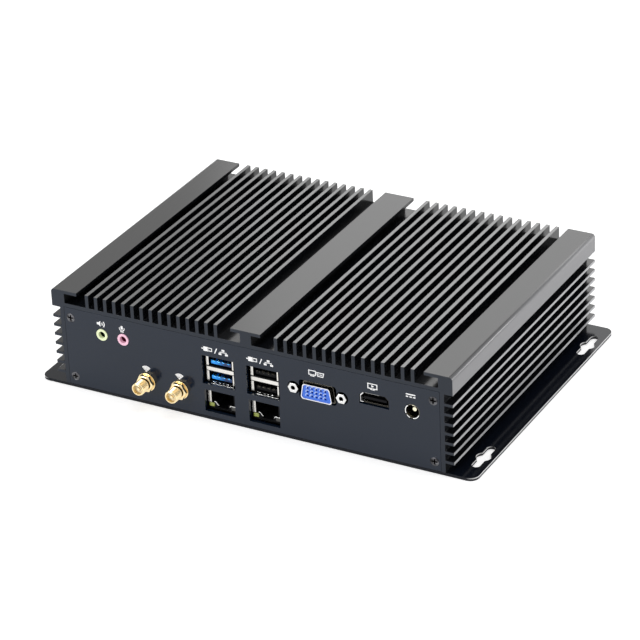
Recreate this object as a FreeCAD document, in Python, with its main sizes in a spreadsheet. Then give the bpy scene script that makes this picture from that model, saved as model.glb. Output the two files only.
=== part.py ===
import FreeCAD, Part

import math
import os
import re

import Sketcher
from FreeCAD import Placement, Rotation, Vector

# A fanless industrial computer. A finned aluminium extrusion, shaped as an upside-down
# trough, closes on a base plate with mounting flanges and on a flat panel at each end.
#
# Frame of the part: X to the right and Z up as seen facing the ports, Y from the port side
# to the rear. The origin is the middle of the base plate's underside.
# Frame of a panel, used by each panel and by what is mounted in it: y = 0 is the panel's
# outer face, +y leads into the housing, x = 0 is the middle of the housing.
#
# The mainboard hangs under the deck with its connectors below it, so that the processor on
# its upper side meets the deck. Every connector is therefore upside down.

# Driving dimensions in millimetres: alias, value, meaning.
SIZES = [
    # Extrusion
    ("body_width", 211.4, "over the rails and the tips of the side fins"),
    ("body_depth", 155.2, "length of the extrusion"),
    ("deck_thick", 3.5, "roof of the trough below the fins"),
    ("wall_thick", 3.8, "side wall without its fins"),
    ("fin_height", 6.6, "top fins above the deck"),
    ("fin_thick", 1.8, "top fin"),
    ("fin_pitch", 5.0, "from one top fin to the next"),
    ("fin_count", 15, "top fins between two rails"),
    ("side_fin_depth", 4.4, "side fins beyond the wall"),
    ("side_fin_thick", 1.4, "side fin"),
    ("side_fin_pitch", 4.95, "from one side fin to the next"),
    ("side_fin_count", 7, "side fins on each wall"),
    ("side_fin_gap", 4.6, "from a side rail to the highest side fin"),
    ("rail_drop", 9.3, "outer face of a side rail"),
    ("side_rail_width", 14.2, "top of a side rail"),
    ("side_lip_reach", 7.0, "overhang of a side rail above its channel"),
    ("centre_rail_width", 15.8, "top of the middle rail"),
    ("centre_web_width", 5.9, "web under the middle rail"),
    ("lip_thick", 1.7, "overhanging edge of a rail"),
    ("rail_round", 1.8, "outer top corner of a side rail"),
    ("rail_gap", 4.75, "from a side rail's lip to the nearest fin"),
    ("rim_side", 2.2, "wall left beside an end panel"),
    ("rim_top", 2.0, "deck left above an end panel"),
    ("boss_radius", 3.4, "screw channel for an end panel's upper screw"),
    ("foot_height", 8.0, "thick foot of a side wall, which takes the lower screws"),
    ("foot_width", 5.2, "thick foot of a side wall, inside the wall"),
    # Base plate
    ("plate_thick", 1.5, "base plate"),
    ("flange_reach", 10.3, "base plate beyond the side fins"),
    ("flange_round", 4.5, "corner of the base plate"),
    ("slot_inset", 5.35, "from a flange's edge to its slots"),
    ("slot_end", 20.0, "from the ends of the plate to the middle of a slot"),
    ("slot_length", 19.8, "mounting slot, end to end"),
    ("slot_width", 4.0, "mounting slot"),
    ("keyhole_radius", 3.6, "round widening in the middle of a slot"),
    ("base_screw_end", 36.0, "from the ends of the plate to its screws"),
    # End panels and screws
    ("panel_thick", 2.0, "end panel"),
    ("panel_gap", 0.12, "between an end panel and the recess that holds it"),
    ("screw_side", 3.2, "from a panel's side edge to its screws"),
    ("screw_top", 5.2, "from a panel's top edge to its upper screws"),
    ("screw_bottom", 4.4, "from a panel's bottom edge to its lower screws"),
    ("head_radius", 2.3, "countersunk head"),
    ("head_height", 1.1, "countersunk head"),
    ("shank_radius", 1.2, "screw thread"),
    ("shank_length", 7.0, "screw thread beyond the head"),
    ("thread_gap", 0.05, "between a thread and its hole, and a head and its countersink"),
    ("hole_gap", 0.2, "between a screw and a hole that it passes through"),
    ("cross_width", 0.7, "arm of the cross recess in a head"),
    ("cross_depth", 0.8, "cross recess in a head"),
    # Mainboard and what it carries on its upper side
    ("board_low", 34.6, "underside of the mainboard"),
    ("board_thick", 1.6, "mainboard"),
    ("board_side_gap", 7.5, "from a side wall to the mainboard"),
    ("board_setback", 4.0, "from a panel's outer face to the mainboard"),
    ("post_side", 5.0, "from the mainboard's side edges to its posts"),
    ("post_end", 22.0, "from the mainboard's ends to its posts"),
    ("post_radius", 2.75, "round post under the deck"),
    ("post_stud", 2.2, "stud of a post in the deck"),
    ("board_head_radius", 2.5, "pan head of a mainboard screw"),
    ("board_head_height", 1.6, "pan head of a mainboard screw"),
    ("processor_width", 28.0, "processor package"),
    ("processor_length", 24.0, "processor package"),
    ("processor_thick", 1.4, "processor package"),
    ("processor_y", -8.0, "middle of the processor"),
    ("pad_thick", 0.5, "thermal pad on the processor"),
    ("spreader_thick", 3.3, "heat spreader"),
    ("spreader_width", 58.0, "heat spreader"),
    ("spreader_length", 52.0, "heat spreader"),
    ("spreader_screw_inset", 5.0, "from the heat spreader's edges to its screws"),
    ("spreader_screw_length", 4.2, "thread of a heat spreader's screw beyond its head"),
    ("board_screw_length", 5.2, "thread of a mainboard screw beyond its head"),
    # Cards and cell under the mainboard
    ("socket_height", 6.6, "socket of a card or of the memory module"),
    ("socket_depth", 6.4, "socket of a card or of the memory module"),
    ("socket_grip", 2.5, "edge of a card in its socket"),
    ("module_x", 8.0, "middle of the memory module"),
    ("module_y", -5.0, "middle of the memory module"),
    ("module_width", 67.6, "memory module"),
    ("module_length", 30.0, "memory module"),
    ("card_width", 30.0, "plug-in card"),
    ("card_length", 50.8, "plug-in card"),
    ("card_y", -20.0, "middle of the plug-in cards"),
    ("storage_x", 66.0, "storage card"),
    ("card_thick", 1.0, "board of a card or of the memory module"),
    ("card_drop", 4.0, "from the mainboard to a card or to the memory module"),
    ("card_post_inset", 3.5, "from a card's edges to its posts"),
    ("chip_thick", 1.0, "chips on the cards and the memory module"),
    ("chip_width", 10.0, "memory chip"),
    ("chip_pitch", 15.0, "memory chips"),
    ("cell_x", -50.0, "coin cell"),
    ("cell_y", 38.0, "coin cell"),
    ("cell_radius", 10.0, "coin cell"),
    ("cell_thick", 3.2, "coin cell"),
    ("holder_wall", 1.2, "rim and floor of the coin cell's holder"),
    # Audio jacks
    ("speaker_x", -78.6, "speaker jack"),
    ("jack_pitch", 11.65, "from the speaker jack to the microphone jack"),
    ("jack_drop", 2.3, "from the mainboard to the middle of the audio jacks"),
    ("jack_barrel_radius", 3.0, "barrel of an audio jack"),
    ("jack_bore_radius", 1.8, "bore of an audio jack"),
    ("jack_bore_depth", 12.5, "bore of an audio jack"),
    ("jack_proud", 0.4, "audio jack beyond the panel"),
    ("jack_body_width", 8.0, "audio jack behind the panel"),
    ("jack_body_drop", 3.2, "audio jack's body below its axis"),
    ("jack_body_depth", 12.0, "audio jack behind the panel"),
    # Antenna jacks
    ("antenna_x", -55.4, "first antenna jack"),
    ("antenna_pitch", 18.1, "from one antenna jack to the next"),
    ("antenna_z", 12.3, "antenna jacks"),
    ("antenna_radius", 3.175, "thread of an antenna jack"),
    ("antenna_neck", 2.9, "antenna jack under its nut and in the panel"),
    ("antenna_relief", 0.4, "neck of an antenna jack in front of its nut"),
    ("antenna_proud", 9.0, "antenna jack beyond the panel"),
    ("antenna_bore", 2.3, "bore of an antenna jack"),
    ("antenna_recess", 1.9, "insulator below the mouth of an antenna jack"),
    ("antenna_pin", 0.65, "inner contact of an antenna jack"),
    ("antenna_flats", 8.0, "across the flats of an antenna jack's hexagons"),
    ("antenna_nut_height", 2.2, "nut of an antenna jack"),
    ("antenna_washer_height", 0.6, "toothed washer of an antenna jack"),
    ("antenna_washer_radius", 4.7, "toothed washer of an antenna jack"),
    ("antenna_head_height", 2.0, "hexagon behind the panel"),
    ("antenna_tail_radius", 2.0, "cable end of an antenna jack"),
    ("antenna_tail_length", 5.0, "cable end of an antenna jack"),
    ("lead_radius", 0.65, "coaxial lead from an antenna jack to the wireless card"),
    ("lead_run", 36.0, "from the panel's outer face to the rising part of a lead"),
    ("lead_bend", 6.0, "bend of a lead"),
    # Stacked network and universal serial ports
    ("stack_x", -15.8, "first stacked port"),
    ("stack_pitch", 23.8, "from one stacked port to the next"),
    ("stack_width", 15.4, "stacked port"),
    ("stack_low", 4.9, "bottom of a stacked port"),
    ("stack_depth", 21.0, "stacked port"),
    ("stack_setback", 2.3, "stacked port behind the panel's outer face"),
    ("shield_thick", 0.4, "sheet-metal shield of a port"),
    ("bus_width", 12.5, "mouth of a universal serial port"),
    ("bus_height", 5.1, "mouth of a universal serial port"),
    ("bus_depth", 9.0, "mouth of a universal serial port"),
    ("bus_bar", 3.0, "bar between two universal serial ports"),
    ("bus_drop", 8.3, "from the mainboard to the middle of the bar between two ports"),
    ("tongue_width", 10.8, "tongue of a universal serial port"),
    ("tongue_thick", 1.8, "tongue of a universal serial port"),
    ("tongue_lift", 0.7, "tongue above the bottom of its mouth"),
    ("tongue_setback", 0.8, "tongue behind the mouth"),
    ("contact_width", 0.9, "contact on a tongue"),
    ("contact_pitch", 2.4, "contacts on a tongue"),
    ("net_width", 11.8, "mouth of a network port"),
    ("net_height", 6.8, "mouth of a network port"),
    ("net_low", 8.2, "bottom of a network port's mouth"),
    ("net_depth", 14.0, "mouth of a network port"),
    ("latch_width", 5.8, "latch notch under a network port's mouth"),
    ("latch_height", 2.4, "latch notch under a network port's mouth"),
    ("lamp_width", 2.8, "lamp of a network port"),
    ("lamp_height", 2.0, "lamp of a network port"),
    ("lamp_depth", 6.0, "lamp of a network port"),
    ("lamp_edge", 0.4, "from a lamp to the side of its port"),
    ("net_contact_pitch", 1.02, "contacts of a network port"),
    ("net_contact_width", 0.4, "contact of a network port"),
    ("bus_cut_width", 17.5, "panel cut-out for two universal serial ports"),
    ("bus_cut_height", 15.0, "panel cut-out for two universal serial ports"),
    ("net_cut_width", 16.3, "panel cut-out for a network port"),
    ("net_cut_height", 11.5, "panel cut-out for a network port"),
    ("net_cut_low", 4.2, "bottom of the panel cut-out for a network port"),
    # Video port and serial ports
    ("video_x", 36.8, "video port"),
    ("dee_drop", 6.6, "from the mainboard to the middle of the video and serial ports"),
    ("dee_width", 16.4, "wide side of a D-shaped shell"),
    ("dee_height", 7.9, "D-shaped shell"),
    ("dee_slant", 1.3, "narrowing of a D-shaped shell on each side"),
    ("dee_round", 1.3, "corner of a D-shaped shell"),
    ("dee_proud", 1.6, "D-shaped shell beyond the panel"),
    ("dee_shell_length", 5.9, "D-shaped shell in front of its flange"),
    ("dee_inset", 0.5, "insulator behind the rim of its shell"),
    ("dee_flange_width", 30.8, "flange of a D-shaped port"),
    ("dee_flange_height", 12.5, "flange of a D-shaped port"),
    ("dee_body_depth", 9.0, "D-shaped port behind its flange"),
    ("dee_cut_width", 19.4, "panel cut-out for a D-shaped shell"),
    ("dee_cut_height", 9.8, "panel cut-out for a D-shaped shell"),
    ("dee_cut_round", 1.5, "corner of the panel cut-out for a D-shaped shell"),
    ("flange_thick", 0.8, "flange of a D-shaped port"),
    ("hexpost_pitch", 24.99, "jack screws of a D-shaped port"),
    ("hexpost_flats", 4.8, "jack screw across its flats"),
    ("hexpost_proud", 0.9, "jack screw beyond the panel"),
    ("hexpost_hole", 1.1, "threaded hole in a jack screw"),
    ("hexpost_depth", 4.6, "threaded hole in a jack screw"),
    ("hexpost_stud", 1.4, "stud of a jack screw"),
    ("hexpost_stud_length", 5.0, "stud of a jack screw"),
    ("hexpost_cut_radius", 3.2, "panel hole round a jack screw"),
    ("pin_pitch", 2.29, "contacts in one row of the video port"),
    ("pin_row", 1.98, "rows of contacts in the video port"),
    ("pin_hole", 0.55, "contact hole of the video port"),
    ("serial_pin_pitch", 2.77, "contacts in one row of a serial port"),
    ("serial_pin_row", 2.84, "rows of contacts in a serial port"),
    ("serial_pin_radius", 0.5, "pin of a serial port"),
    ("serial_pin_length", 4.4, "pin of a serial port in front of its base"),
    # High-definition video port
    ("display_x", 65.85, "display port"),
    ("display_drop", 0.9, "from the mainboard to the top of the display port's shield"),
    ("display_width", 14.7, "display port's shield"),
    ("display_height", 5.3, "display port's shield"),
    ("display_chamfer", 1.8, "upper corners of the display port"),
    ("display_wall", 0.3, "sheet of the display port's shield"),
    ("display_depth", 11.0, "display port"),
    ("display_setback", 0.6, "display port behind the panel's outer face"),
    ("display_tongue_width", 11.6, "tongue of the display port"),
    ("display_tongue_thick", 1.2, "tongue of the display port"),
    ("display_cut_width", 15.1, "panel cut-out for the display port"),
    ("display_cut_height", 6.2, "panel cut-out for the display port"),
    ("display_cut_over", 0.2, "panel cut-out above the display port"),
    # Power inlet
    ("inlet_x", 85.1, "power inlet"),
    ("inlet_drop", 5.15, "from the mainboard to the middle of the power inlet"),
    ("inlet_cut_radius", 3.95, "panel hole for the power inlet"),
    ("inlet_sleeve_radius", 3.7, "metal sleeve of the power inlet"),
    ("inlet_bore_radius", 3.3, "bore of the power inlet"),
    ("inlet_setback", 0.3, "power inlet behind the panel's outer face"),
    ("inlet_pin_radius", 1.0, "pin of the power inlet"),
    ("inlet_pin_setback", 2.6, "tip of the pin behind the panel's outer face"),
    ("inlet_depth", 12.0, "power inlet"),
    ("inlet_body_width", 9.0, "power inlet behind the panel"),
    # Rear panel: serial ports, universal serial ports, power button and lamps
    ("serial_x", 68.0, "first serial port"),
    ("serial_pitch", 38.0, "from one serial port to the next"),
    ("rear_bus_x", -5.0, "universal serial ports in the rear panel"),
    ("button_x", -72.0, "power button"),
    ("button_z", 25.0, "power button"),
    ("button_radius", 5.0, "cap of the power button"),
    ("button_gap", 0.25, "between the cap and its bezel"),
    ("button_travel", 1.0, "stroke of the power button"),
    ("button_proud", 1.4, "cap beyond its bezel"),
    ("bezel_radius", 7.5, "rim of the power button's bezel"),
    ("bezel_wall", 1.0, "tube of the power button's bezel"),
    ("bezel_proud", 1.2, "rim of the bezel in front of the panel"),
    ("bezel_depth", 8.0, "tube of the bezel behind the panel's outer face"),
    ("cap_depth", 3.0, "cap behind the panel's outer face"),
    ("stem_radius", 1.5, "stem of the power button"),
    ("switch_width", 12.0, "switch behind the power button"),
    ("switch_depth", 5.0, "switch behind the power button"),
    ("switch_stop", 0.15, "free space left between stem and switch at full stroke"),
    ("pilot_x", -50.0, "first indicator lamp"),
    ("pilot_pitch", 8.0, "from one indicator lamp to the next"),
    ("pilot_radius", 1.5, "lens of an indicator lamp"),
    ("pilot_proud", 0.6, "lens of an indicator lamp beyond the panel"),
    ("pilot_length", 8.0, "light guide of an indicator lamp"),
    ("fit_gap", 0.1, "between a part and the panel hole that it stands in"),
]
VALUE = {alias: value for alias, value, meaning in SIZES}

# Heights that follow from what is stacked on the mainboard and from what hangs from it.
DERIVED = {
    "ceiling": "(board_low + board_thick + processor_thick + pad_thick + spreader_thick)",
    "body_height": "(ceiling + deck_thick + fin_height)",
    "jack_z": "(board_low - jack_drop)",
    "bus_z": "(board_low - bus_drop)",
    "dee_z": "(board_low - dee_drop)",
    "display_top": "(board_low - display_drop)",
    "inlet_z": "(board_low - inlet_drop)",
}

# Places that several sub-parts share, worked out from the driving dimensions.
FRONT = "(-body_depth / 2)"
REAR = "(body_depth / 2)"
HALF_WIDTH = "(body_width / 2)"
WALL_OUTER = "(body_width / 2 - side_fin_depth)"
WALL_INNER = "(body_width / 2 - side_fin_depth - wall_thick)"
DECK_TOP = "(body_height - fin_height)"
CEILING = "ceiling"
RECESS_HALF = "(body_width / 2 - side_fin_depth - rim_side)"
RECESS_TOP = "(body_height - fin_height - rim_top)"
PANEL_HALF = "(body_width / 2 - side_fin_depth - rim_side - panel_gap)"
PANEL_TOP = "(body_height - fin_height - rim_top - panel_gap)"
PANEL_LOW = "(plate_thick + panel_gap)"
SCREW_X = "(body_width / 2 - side_fin_depth - rim_side - panel_gap - screw_side)"
SCREW_HIGH = "(body_height - fin_height - rim_top - panel_gap - screw_top)"
SCREW_LOW = "(plate_thick + panel_gap + screw_bottom)"
SLOT_X = "(body_width / 2 + flange_reach - slot_inset)"
SLOT_Y = "(body_depth / 2 - slot_end)"
BASE_SCREW_Y = "(body_depth / 2 - base_screw_end)"
FIN_RUN = "((fin_count - 1) * fin_pitch)"
FIN_FIRST = f"(body_width / 2 - side_rail_width - rail_gap - fin_thick - {FIN_RUN})"
BOARD_TOP = "(board_low + board_thick)"
BOARD_HALF_DEPTH = "(body_depth / 2 - board_setback)"
BOARD_HALF_WIDTH = "(body_width / 2 - side_fin_depth - wall_thick - board_side_gap)"
POST_X = f"({BOARD_HALF_WIDTH} - post_side)"
POST_Y = "(body_depth / 2 - board_setback - post_end)"
SPREADER_LOW = "(board_low + board_thick + processor_thick + pad_thick)"
STACK_TOP_MOUTH = "(bus_z + bus_bar / 2)"
STACK_LOW_MOUTH = "(bus_z - bus_bar / 2 - bus_height)"
DEE_FLANGE_Y = "(dee_shell_length - dee_proud)"
DISPLAY_LOW = "(display_top - display_height)"
STEM_END = "(bezel_depth - button_travel - switch_stop)"
CARD_LOW = "(board_low - card_drop - card_thick)"
CARD_END = "(card_y + card_length / 2)"
CARD_POST_X = "(card_width / 2 - card_post_inset)"
CARD_POST_Y = "(card_y - card_length / 2 + card_post_inset)"
WIRELESS_X = "(antenna_x + antenna_pitch / 2)"
SPREADER_X = "(spreader_width / 2 - spreader_screw_inset)"
SPREADER_Y = "(spreader_length / 2 - spreader_screw_inset)"

doc = FreeCAD.newDocument("FanlessComputer")
bodies = []


# ---------------------------------------------------------------- sheet and formulas

def fill_sheet():
    sheet = doc.addObject("Spreadsheet::Sheet", "Sizes")
    for row, (alias, value, meaning) in enumerate(SIZES, start=1):
        sheet.set(f"A{row}", alias)
        sheet.set(f"B{row}", str(value))
        sheet.set(f"C{row}", meaning)
        sheet.setAlias(f"B{row}", alias)
    doc.recompute()


def formula(text):
    """A formula over the aliases, as an expression over the sheet's cells."""
    def cell(match):
        word = match.group()
        if word in DERIVED:
            return formula(DERIVED[word])
        return f"Sizes.{word}" if word in VALUE else word
    return re.sub(r"[A-Za-z_]\w*", cell, str(text))


def bind(item, **sizes):
    for name, text in sizes.items():
        item.setExpression(name, formula(text))


# ---------------------------------------------------------------- bodies and sketches

AHEAD = Rotation()
TURNED = Rotation(Vector(0, 0, 1), 180)
UPWARDS = Rotation(Vector(1, 0, 0), 90)


def new_body(label, x="0", y=FRONT, z="0", facing=AHEAD):
    """A body whose own y axis leads ahead, is turned round to the front, or leads upwards."""
    body = doc.addObject("PartDesign::Body", label)
    body.Label = label
    body.Placement = Placement(Vector(0, 0, 0), facing)
    for axis, text in zip("xyz", (x, y, z)):
        body.setExpression(f"Placement.Base.{axis}", formula(text))
    bodies.append(body)
    return body


def origin_part(body, role):
    return next(part for part in body.Origin.OriginFeatures if part.Role == role)


def new_sketch(body, plane, start):
    """A sketch on an origin plane, moved to start along the axis that the plane faces."""
    sketch = body.newObject("Sketcher::SketchObject", f"{body.Name}_Outline")
    sketch.AttachmentSupport = (origin_part(body, f"{plane}_Plane"), [""])
    sketch.MapMode = "FlatFace"
    sign = "-" if plane == "XZ" else ""
    sketch.setExpression("AttachmentOffset.Base.z", formula(f"{sign}({start})"))
    return sketch


def fix(sketch, kind, position, text, value):
    index = sketch.addConstraint(Sketcher.Constraint(kind, *position, value))
    name = f"{kind}_{index}"
    sketch.renameConstraint(index, name)
    sketch.setExpression(f"Constraints.{name}", formula(text))


def fix_point(sketch, geometry, end, place, start):
    """Ties one point of the sketch to the origin in both directions."""
    origin = (-1, 1)
    fix(sketch, "DistanceX", (*origin, geometry, end), place[0], start[0])
    fix(sketch, "DistanceY", (*origin, geometry, end), place[1], start[1])


def draw_outline(sketch, corners):
    """A closed outline of straight lines through corners given as pairs of formulas."""
    count = len(corners)
    turn = 2 * math.pi / count
    start = [(20 + 10 * math.cos(turn * i), 20 + 10 * math.sin(turn * i)) for i in range(count)]
    first = sketch.GeometryCount
    for i in range(count):
        ends = [Vector(*start[i], 0), Vector(*start[(i + 1) % count], 0)]
        sketch.addGeometry(Part.LineSegment(*ends))
    for i in range(count):
        following = first + (i + 1) % count
        sketch.addConstraint(Sketcher.Constraint("Coincident", first + i, 2, following, 1))
    for i, place in enumerate(corners):
        fix_point(sketch, first + i, 1, place, start[i])


def draw_circle(sketch, x, z, radius):
    start = (5.0, 5.0)
    circle = sketch.addGeometry(Part.Circle(Vector(*start, 0), Vector(0, 0, 1), 1.0))
    fix_point(sketch, circle, 3, (x, z), start)
    fix(sketch, "Radius", (circle,), radius, 1.0)


def draw(sketch, loops):
    for loop in loops:
        if isinstance(loop, tuple):
            draw_circle(sketch, *loop)
        else:
            draw_outline(sketch, loop)


# Loops: a circle is (x, z, radius), an outline is a list of corners.

def rectangle(x, z, width, height):
    """A rectangle given by its middle."""
    left, right = f"{x} - ({width}) / 2", f"{x} + ({width}) / 2"
    low, high = f"{z} - ({height}) / 2", f"{z} + ({height}) / 2"
    return [(left, low), (right, low), (right, high), (left, high)]


def block(left, right, low, high):
    """A rectangle given by its sides."""
    return [(left, low), (right, low), (right, high), (left, high)]


def hexagon(x, z, flats):
    """A regular hexagon with a corner on each side and flats above and below."""
    corners = []
    for step in range(6):
        angle = math.radians(60 * step)
        reach = f"({flats}) / 2 / {math.cos(math.pi / 6):.6f}"
        corners.append((f"{x} + {reach} * {math.cos(angle):.6f}",
                        f"{z} + {reach} * {math.sin(angle):.6f}"))
    return corners


def dee(x, z, grow="0"):
    """A D-shaped outline with its wide side below."""
    half = f"(dee_width / 2 + {grow})"
    low, high = f"{z} - dee_height / 2 - ({grow})", f"{z} + dee_height / 2 + ({grow})"
    return [(f"{x} - {half}", low), (f"{x} + {half}", low),
            (f"{x} + {half} - dee_slant", high), (f"{x} - {half} + dee_slant", high)]


def display_outline(x, width, low, high):
    """The display port's outline, with chamfered upper corners."""
    half = f"(({width}) / 2)"
    shoulder = f"{high} - display_chamfer"
    return [(f"{x} - {half}", low), (f"{x} + {half}", low), (f"{x} + {half}", shoulder),
            (f"{x} + {half} - display_chamfer", high),
            (f"{x} - {half} + display_chamfer", high), (f"{x} - {half}", shoulder)]


def display_inside():
    return display_outline("0", "display_width - 2 * display_wall",
                           f"{DISPLAY_LOW} + display_wall", "display_top - display_wall")


# ---------------------------------------------------------------- features

def extrude(body, kind, plane, loops, start, length):
    """Adds or cuts loops from start over length, always towards the positive axis."""
    sketch = new_sketch(body, plane, start)
    draw(sketch, loops)
    feature = body.newObject(f"PartDesign::{kind}", f"{body.Name}_{kind}")
    feature.Profile = sketch
    feature.Reversed = (kind == "Pad") == (plane == "XZ")
    bind(feature, Length=length)
    doc.recompute()
    return feature


def add(body, plane, loops, start, length):
    return extrude(body, "Pad", plane, loops, start, length)


def cut(body, plane, loops, start, length):
    return extrude(body, "Pocket", plane, loops, start, length)


def repeat(body, features, *runs):
    """Repeats features along one or two axes; a run is (axis, length, count)."""
    pattern = body.newObject("PartDesign::LinearPattern", f"{body.Name}_Row")
    pattern.Originals = features
    for suffix, (axis, length, count) in zip(("", "2"), runs):
        setattr(pattern, f"Direction{suffix}", (origin_part(body, f"{axis}_Axis"), [""]))
        pattern.setExpression(f"Length{suffix}", formula(length))
        pattern.setExpression(f"Occurrences{suffix}", formula(count))
    body.Tip = pattern
    doc.recompute()
    return pattern


def spin(body, corners):
    """Revolves an outline of (radius, y) corners about the body's Y axis."""
    sketch = new_sketch(body, "XY", "0")
    draw(sketch, [corners])
    feature = body.newObject("PartDesign::Revolution", f"{body.Name}_Turned")
    feature.Profile = sketch
    feature.ReferenceAxis = (sketch, ["V_Axis"])
    feature.Angle = 360
    doc.recompute()
    return feature


def countersink(body, plane, place, low, high, height):
    """A conical cut along the plane's normal; low and high are its radii."""
    cone = body.newObject("PartDesign::SubtractiveCone", f"{body.Name}_Countersink")
    cone.AttachmentSupport = (origin_part(body, f"{plane}_Plane"), [""])
    cone.MapMode = "FlatFace"
    for axis, text in zip("xyz", place):
        cone.setExpression(f"AttachmentOffset.Base.{axis}", formula(text))
    bind(cone, Radius1=low, Radius2=high, Height=height)
    doc.recompute()
    return cone


def round_edges(body, radius, wanted):
    """Fillets the straight edges of the tip that wanted(middle, direction, box) picks."""
    tip = body.Tip
    box = tip.Shape.BoundBox
    names = []
    for number, edge in enumerate(tip.Shape.Edges, start=1):
        if edge.Curve.TypeId == "Part::GeomLine":
            ends = [vertex.Point for vertex in edge.Vertexes]
            direction = (ends[1] - ends[0]).normalize()
            if wanted((ends[0] + ends[1]) / 2, direction, box):
                names.append(f"Edge{number}")
    fillet = body.newObject("PartDesign::Fillet", f"{body.Name}_Round")
    fillet.Base = (tip, names)
    bind(fillet, Radius=radius)
    doc.recompute()
    return fillet


def near(value, other):
    return abs(value - other) < 0.01


def along(direction, axis):
    return abs(direction.dot(axis)) > 0.999


X_AXIS, Y_AXIS, Z_AXIS = Vector(1, 0, 0), Vector(0, 1, 0), Vector(0, 0, 1)


# ---------------------------------------------------------------- housing

def mirrored(corners):
    """Corners of the right half, then those of the left half in reverse order."""
    left = [(f"-({x})", z) for x, z in reversed(corners)]
    return corners + left


def heatsink_housing():
    """The extrusion: trough, rails, fins, screw channels and recesses for the panels."""
    body = new_body("heatsink_housing", y="0")
    channel = f"({HALF_WIDTH} - side_rail_width + side_lip_reach)"
    lip_low = "body_height - lip_thick"
    rail_low = "body_height - rail_drop"
    outside = [
        (WALL_OUTER, "plate_thick"), (WALL_OUTER, rail_low),
        (HALF_WIDTH, rail_low), (HALF_WIDTH, "body_height"),
        (f"{HALF_WIDTH} - side_rail_width", "body_height"),
        (f"{HALF_WIDTH} - side_rail_width", lip_low),
        (channel, lip_low), (channel, DECK_TOP),
        ("centre_web_width / 2", DECK_TOP), ("centre_web_width / 2", lip_low),
        ("centre_rail_width / 2", lip_low), ("centre_rail_width / 2", "body_height"),
    ]
    inside = [(f"-{WALL_INNER}", "plate_thick"), (f"-{WALL_INNER}", CEILING),
              (WALL_INNER, CEILING), (WALL_INNER, "plate_thick")]
    add(body, "XZ", [mirrored(outside) + inside], FRONT, "body_depth")

    def outer_corner(middle, direction, box):
        at_side = near(abs(middle.x), box.XMax)
        return along(direction, Y_AXIS) and at_side and near(middle.z, box.ZMax)
    round_edges(body, "rail_round", outer_corner)

    right_bank, left_bank = FIN_FIRST, f"(-{FIN_FIRST} - {FIN_RUN} - fin_thick)"
    first_fins = [block(x, f"{x} + fin_thick", DECK_TOP, "body_height")
                  for x in (right_bank, left_bank)]
    fins = add(body, "XZ", first_fins, FRONT, "body_depth")
    repeat(body, [fins], ("X", FIN_RUN, "fin_count"))

    run = "((side_fin_count - 1) * side_fin_pitch)"
    side_low = f"(body_height - rail_drop - side_fin_gap - side_fin_thick - {run})"
    side_fins = [block(f"{sign}{WALL_OUTER}", f"{sign}{HALF_WIDTH}",
                       side_low, f"{side_low} + side_fin_thick") for sign in ("", "-")]
    fins = add(body, "XZ", side_fins, FRONT, "body_depth")
    repeat(body, [fins], ("Z", run, "side_fin_count"))

    bosses = [(f"{sign}{SCREW_X}", SCREW_HIGH, "boss_radius") for sign in ("", "-")]
    feet = [block(f"{sign}({WALL_INNER} - foot_width)", f"{sign}{WALL_INNER}",
                  "plate_thick", "plate_thick + foot_height") for sign in ("", "-")]
    add(body, "XZ", bosses + feet, FRONT, "body_depth")

    recess = [block(f"-{RECESS_HALF}", RECESS_HALF, "plate_thick", RECESS_TOP)]
    pilots = [(f"{sign}{SCREW_X}", z, "shank_radius + thread_gap")
              for sign in ("", "-") for z in (SCREW_LOW, SCREW_HIGH)]
    pilot_depth = "panel_thick + shank_length"
    cut(body, "XZ", recess, FRONT, "panel_thick")
    cut(body, "XZ", pilots, FRONT, pilot_depth)
    cut(body, "XZ", recess, f"{REAR} - panel_thick", "panel_thick")
    cut(body, "XZ", pilots, f"{REAR} - ({pilot_depth})", pilot_depth)

    base_pilots = [(f"{sx}{SCREW_X}", f"{sy}{BASE_SCREW_Y}", "shank_radius + thread_gap")
                   for sx in ("", "-") for sy in ("", "-")]
    cut(body, "XY", base_pilots, "plate_thick", "shank_length - plate_thick + head_height")
    thread = "shank_radius + thread_gap"
    posts = four(POST_X, POST_Y, thread)
    spreader = four(SPREADER_X, SPREADER_Y, thread, middle="processor_y")
    cut(body, "XY", posts + spreader, CEILING, "deck_thick - rim_top / 2")


# ---------------------------------------------------------------- plates and screws

def four(x, y, radius, middle="0"):
    """Four circles, mirrored about x = 0 and about y = middle."""
    return [(f"{sx}{x}", f"{middle} {sy} {y}", radius) for sx in ("", "-") for sy in "+-"]


def base_plate():
    """Sheet with a flange on each side; each slot widens in the middle like a keyhole."""
    body = new_body("base_plate", y="0")
    half = f"({HALF_WIDTH} + flange_reach)"
    add(body, "XY", [block(f"-{half}", half, FRONT, REAR)], "0", "plate_thick")

    def corner(middle, direction, box):
        return along(direction, Z_AXIS) and near(abs(middle.x), box.XMax)
    round_edges(body, "flange_round", corner)
    run = "((slot_length - slot_width) / 2)"
    slots = [rectangle(f"{sx}{SLOT_X}", f"{sy}{SLOT_Y}", "slot_width", f"2 * {run}")
             for sx in ("", "-") for sy in ("", "-")]
    cut(body, "XY", slots, "0", "plate_thick")
    for end in ("+", "-"):
        ends = [(f"{sx}{SLOT_X}", f"{sy}{SLOT_Y} {end} {run}", "slot_width / 2")
                for sx in ("", "-") for sy in ("", "-")]
        cut(body, "XY", ends, "0", "plate_thick")
    cut(body, "XY", four(SLOT_X, SLOT_Y, "keyhole_radius"), "0", "plate_thick")
    cut(body, "XY", four(SCREW_X, BASE_SCREW_Y, "shank_radius + hole_gap"), "0", "plate_thick")
    sink = countersink(body, "XY", (f"-{SCREW_X}", f"-{BASE_SCREW_Y}", "0"),
                       "head_radius + thread_gap", "shank_radius + thread_gap", "head_height")
    repeat(body, [sink], ("X", f"2 * {SCREW_X}", "2"), ("Y", f"2 * {BASE_SCREW_Y}", "2"))


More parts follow.
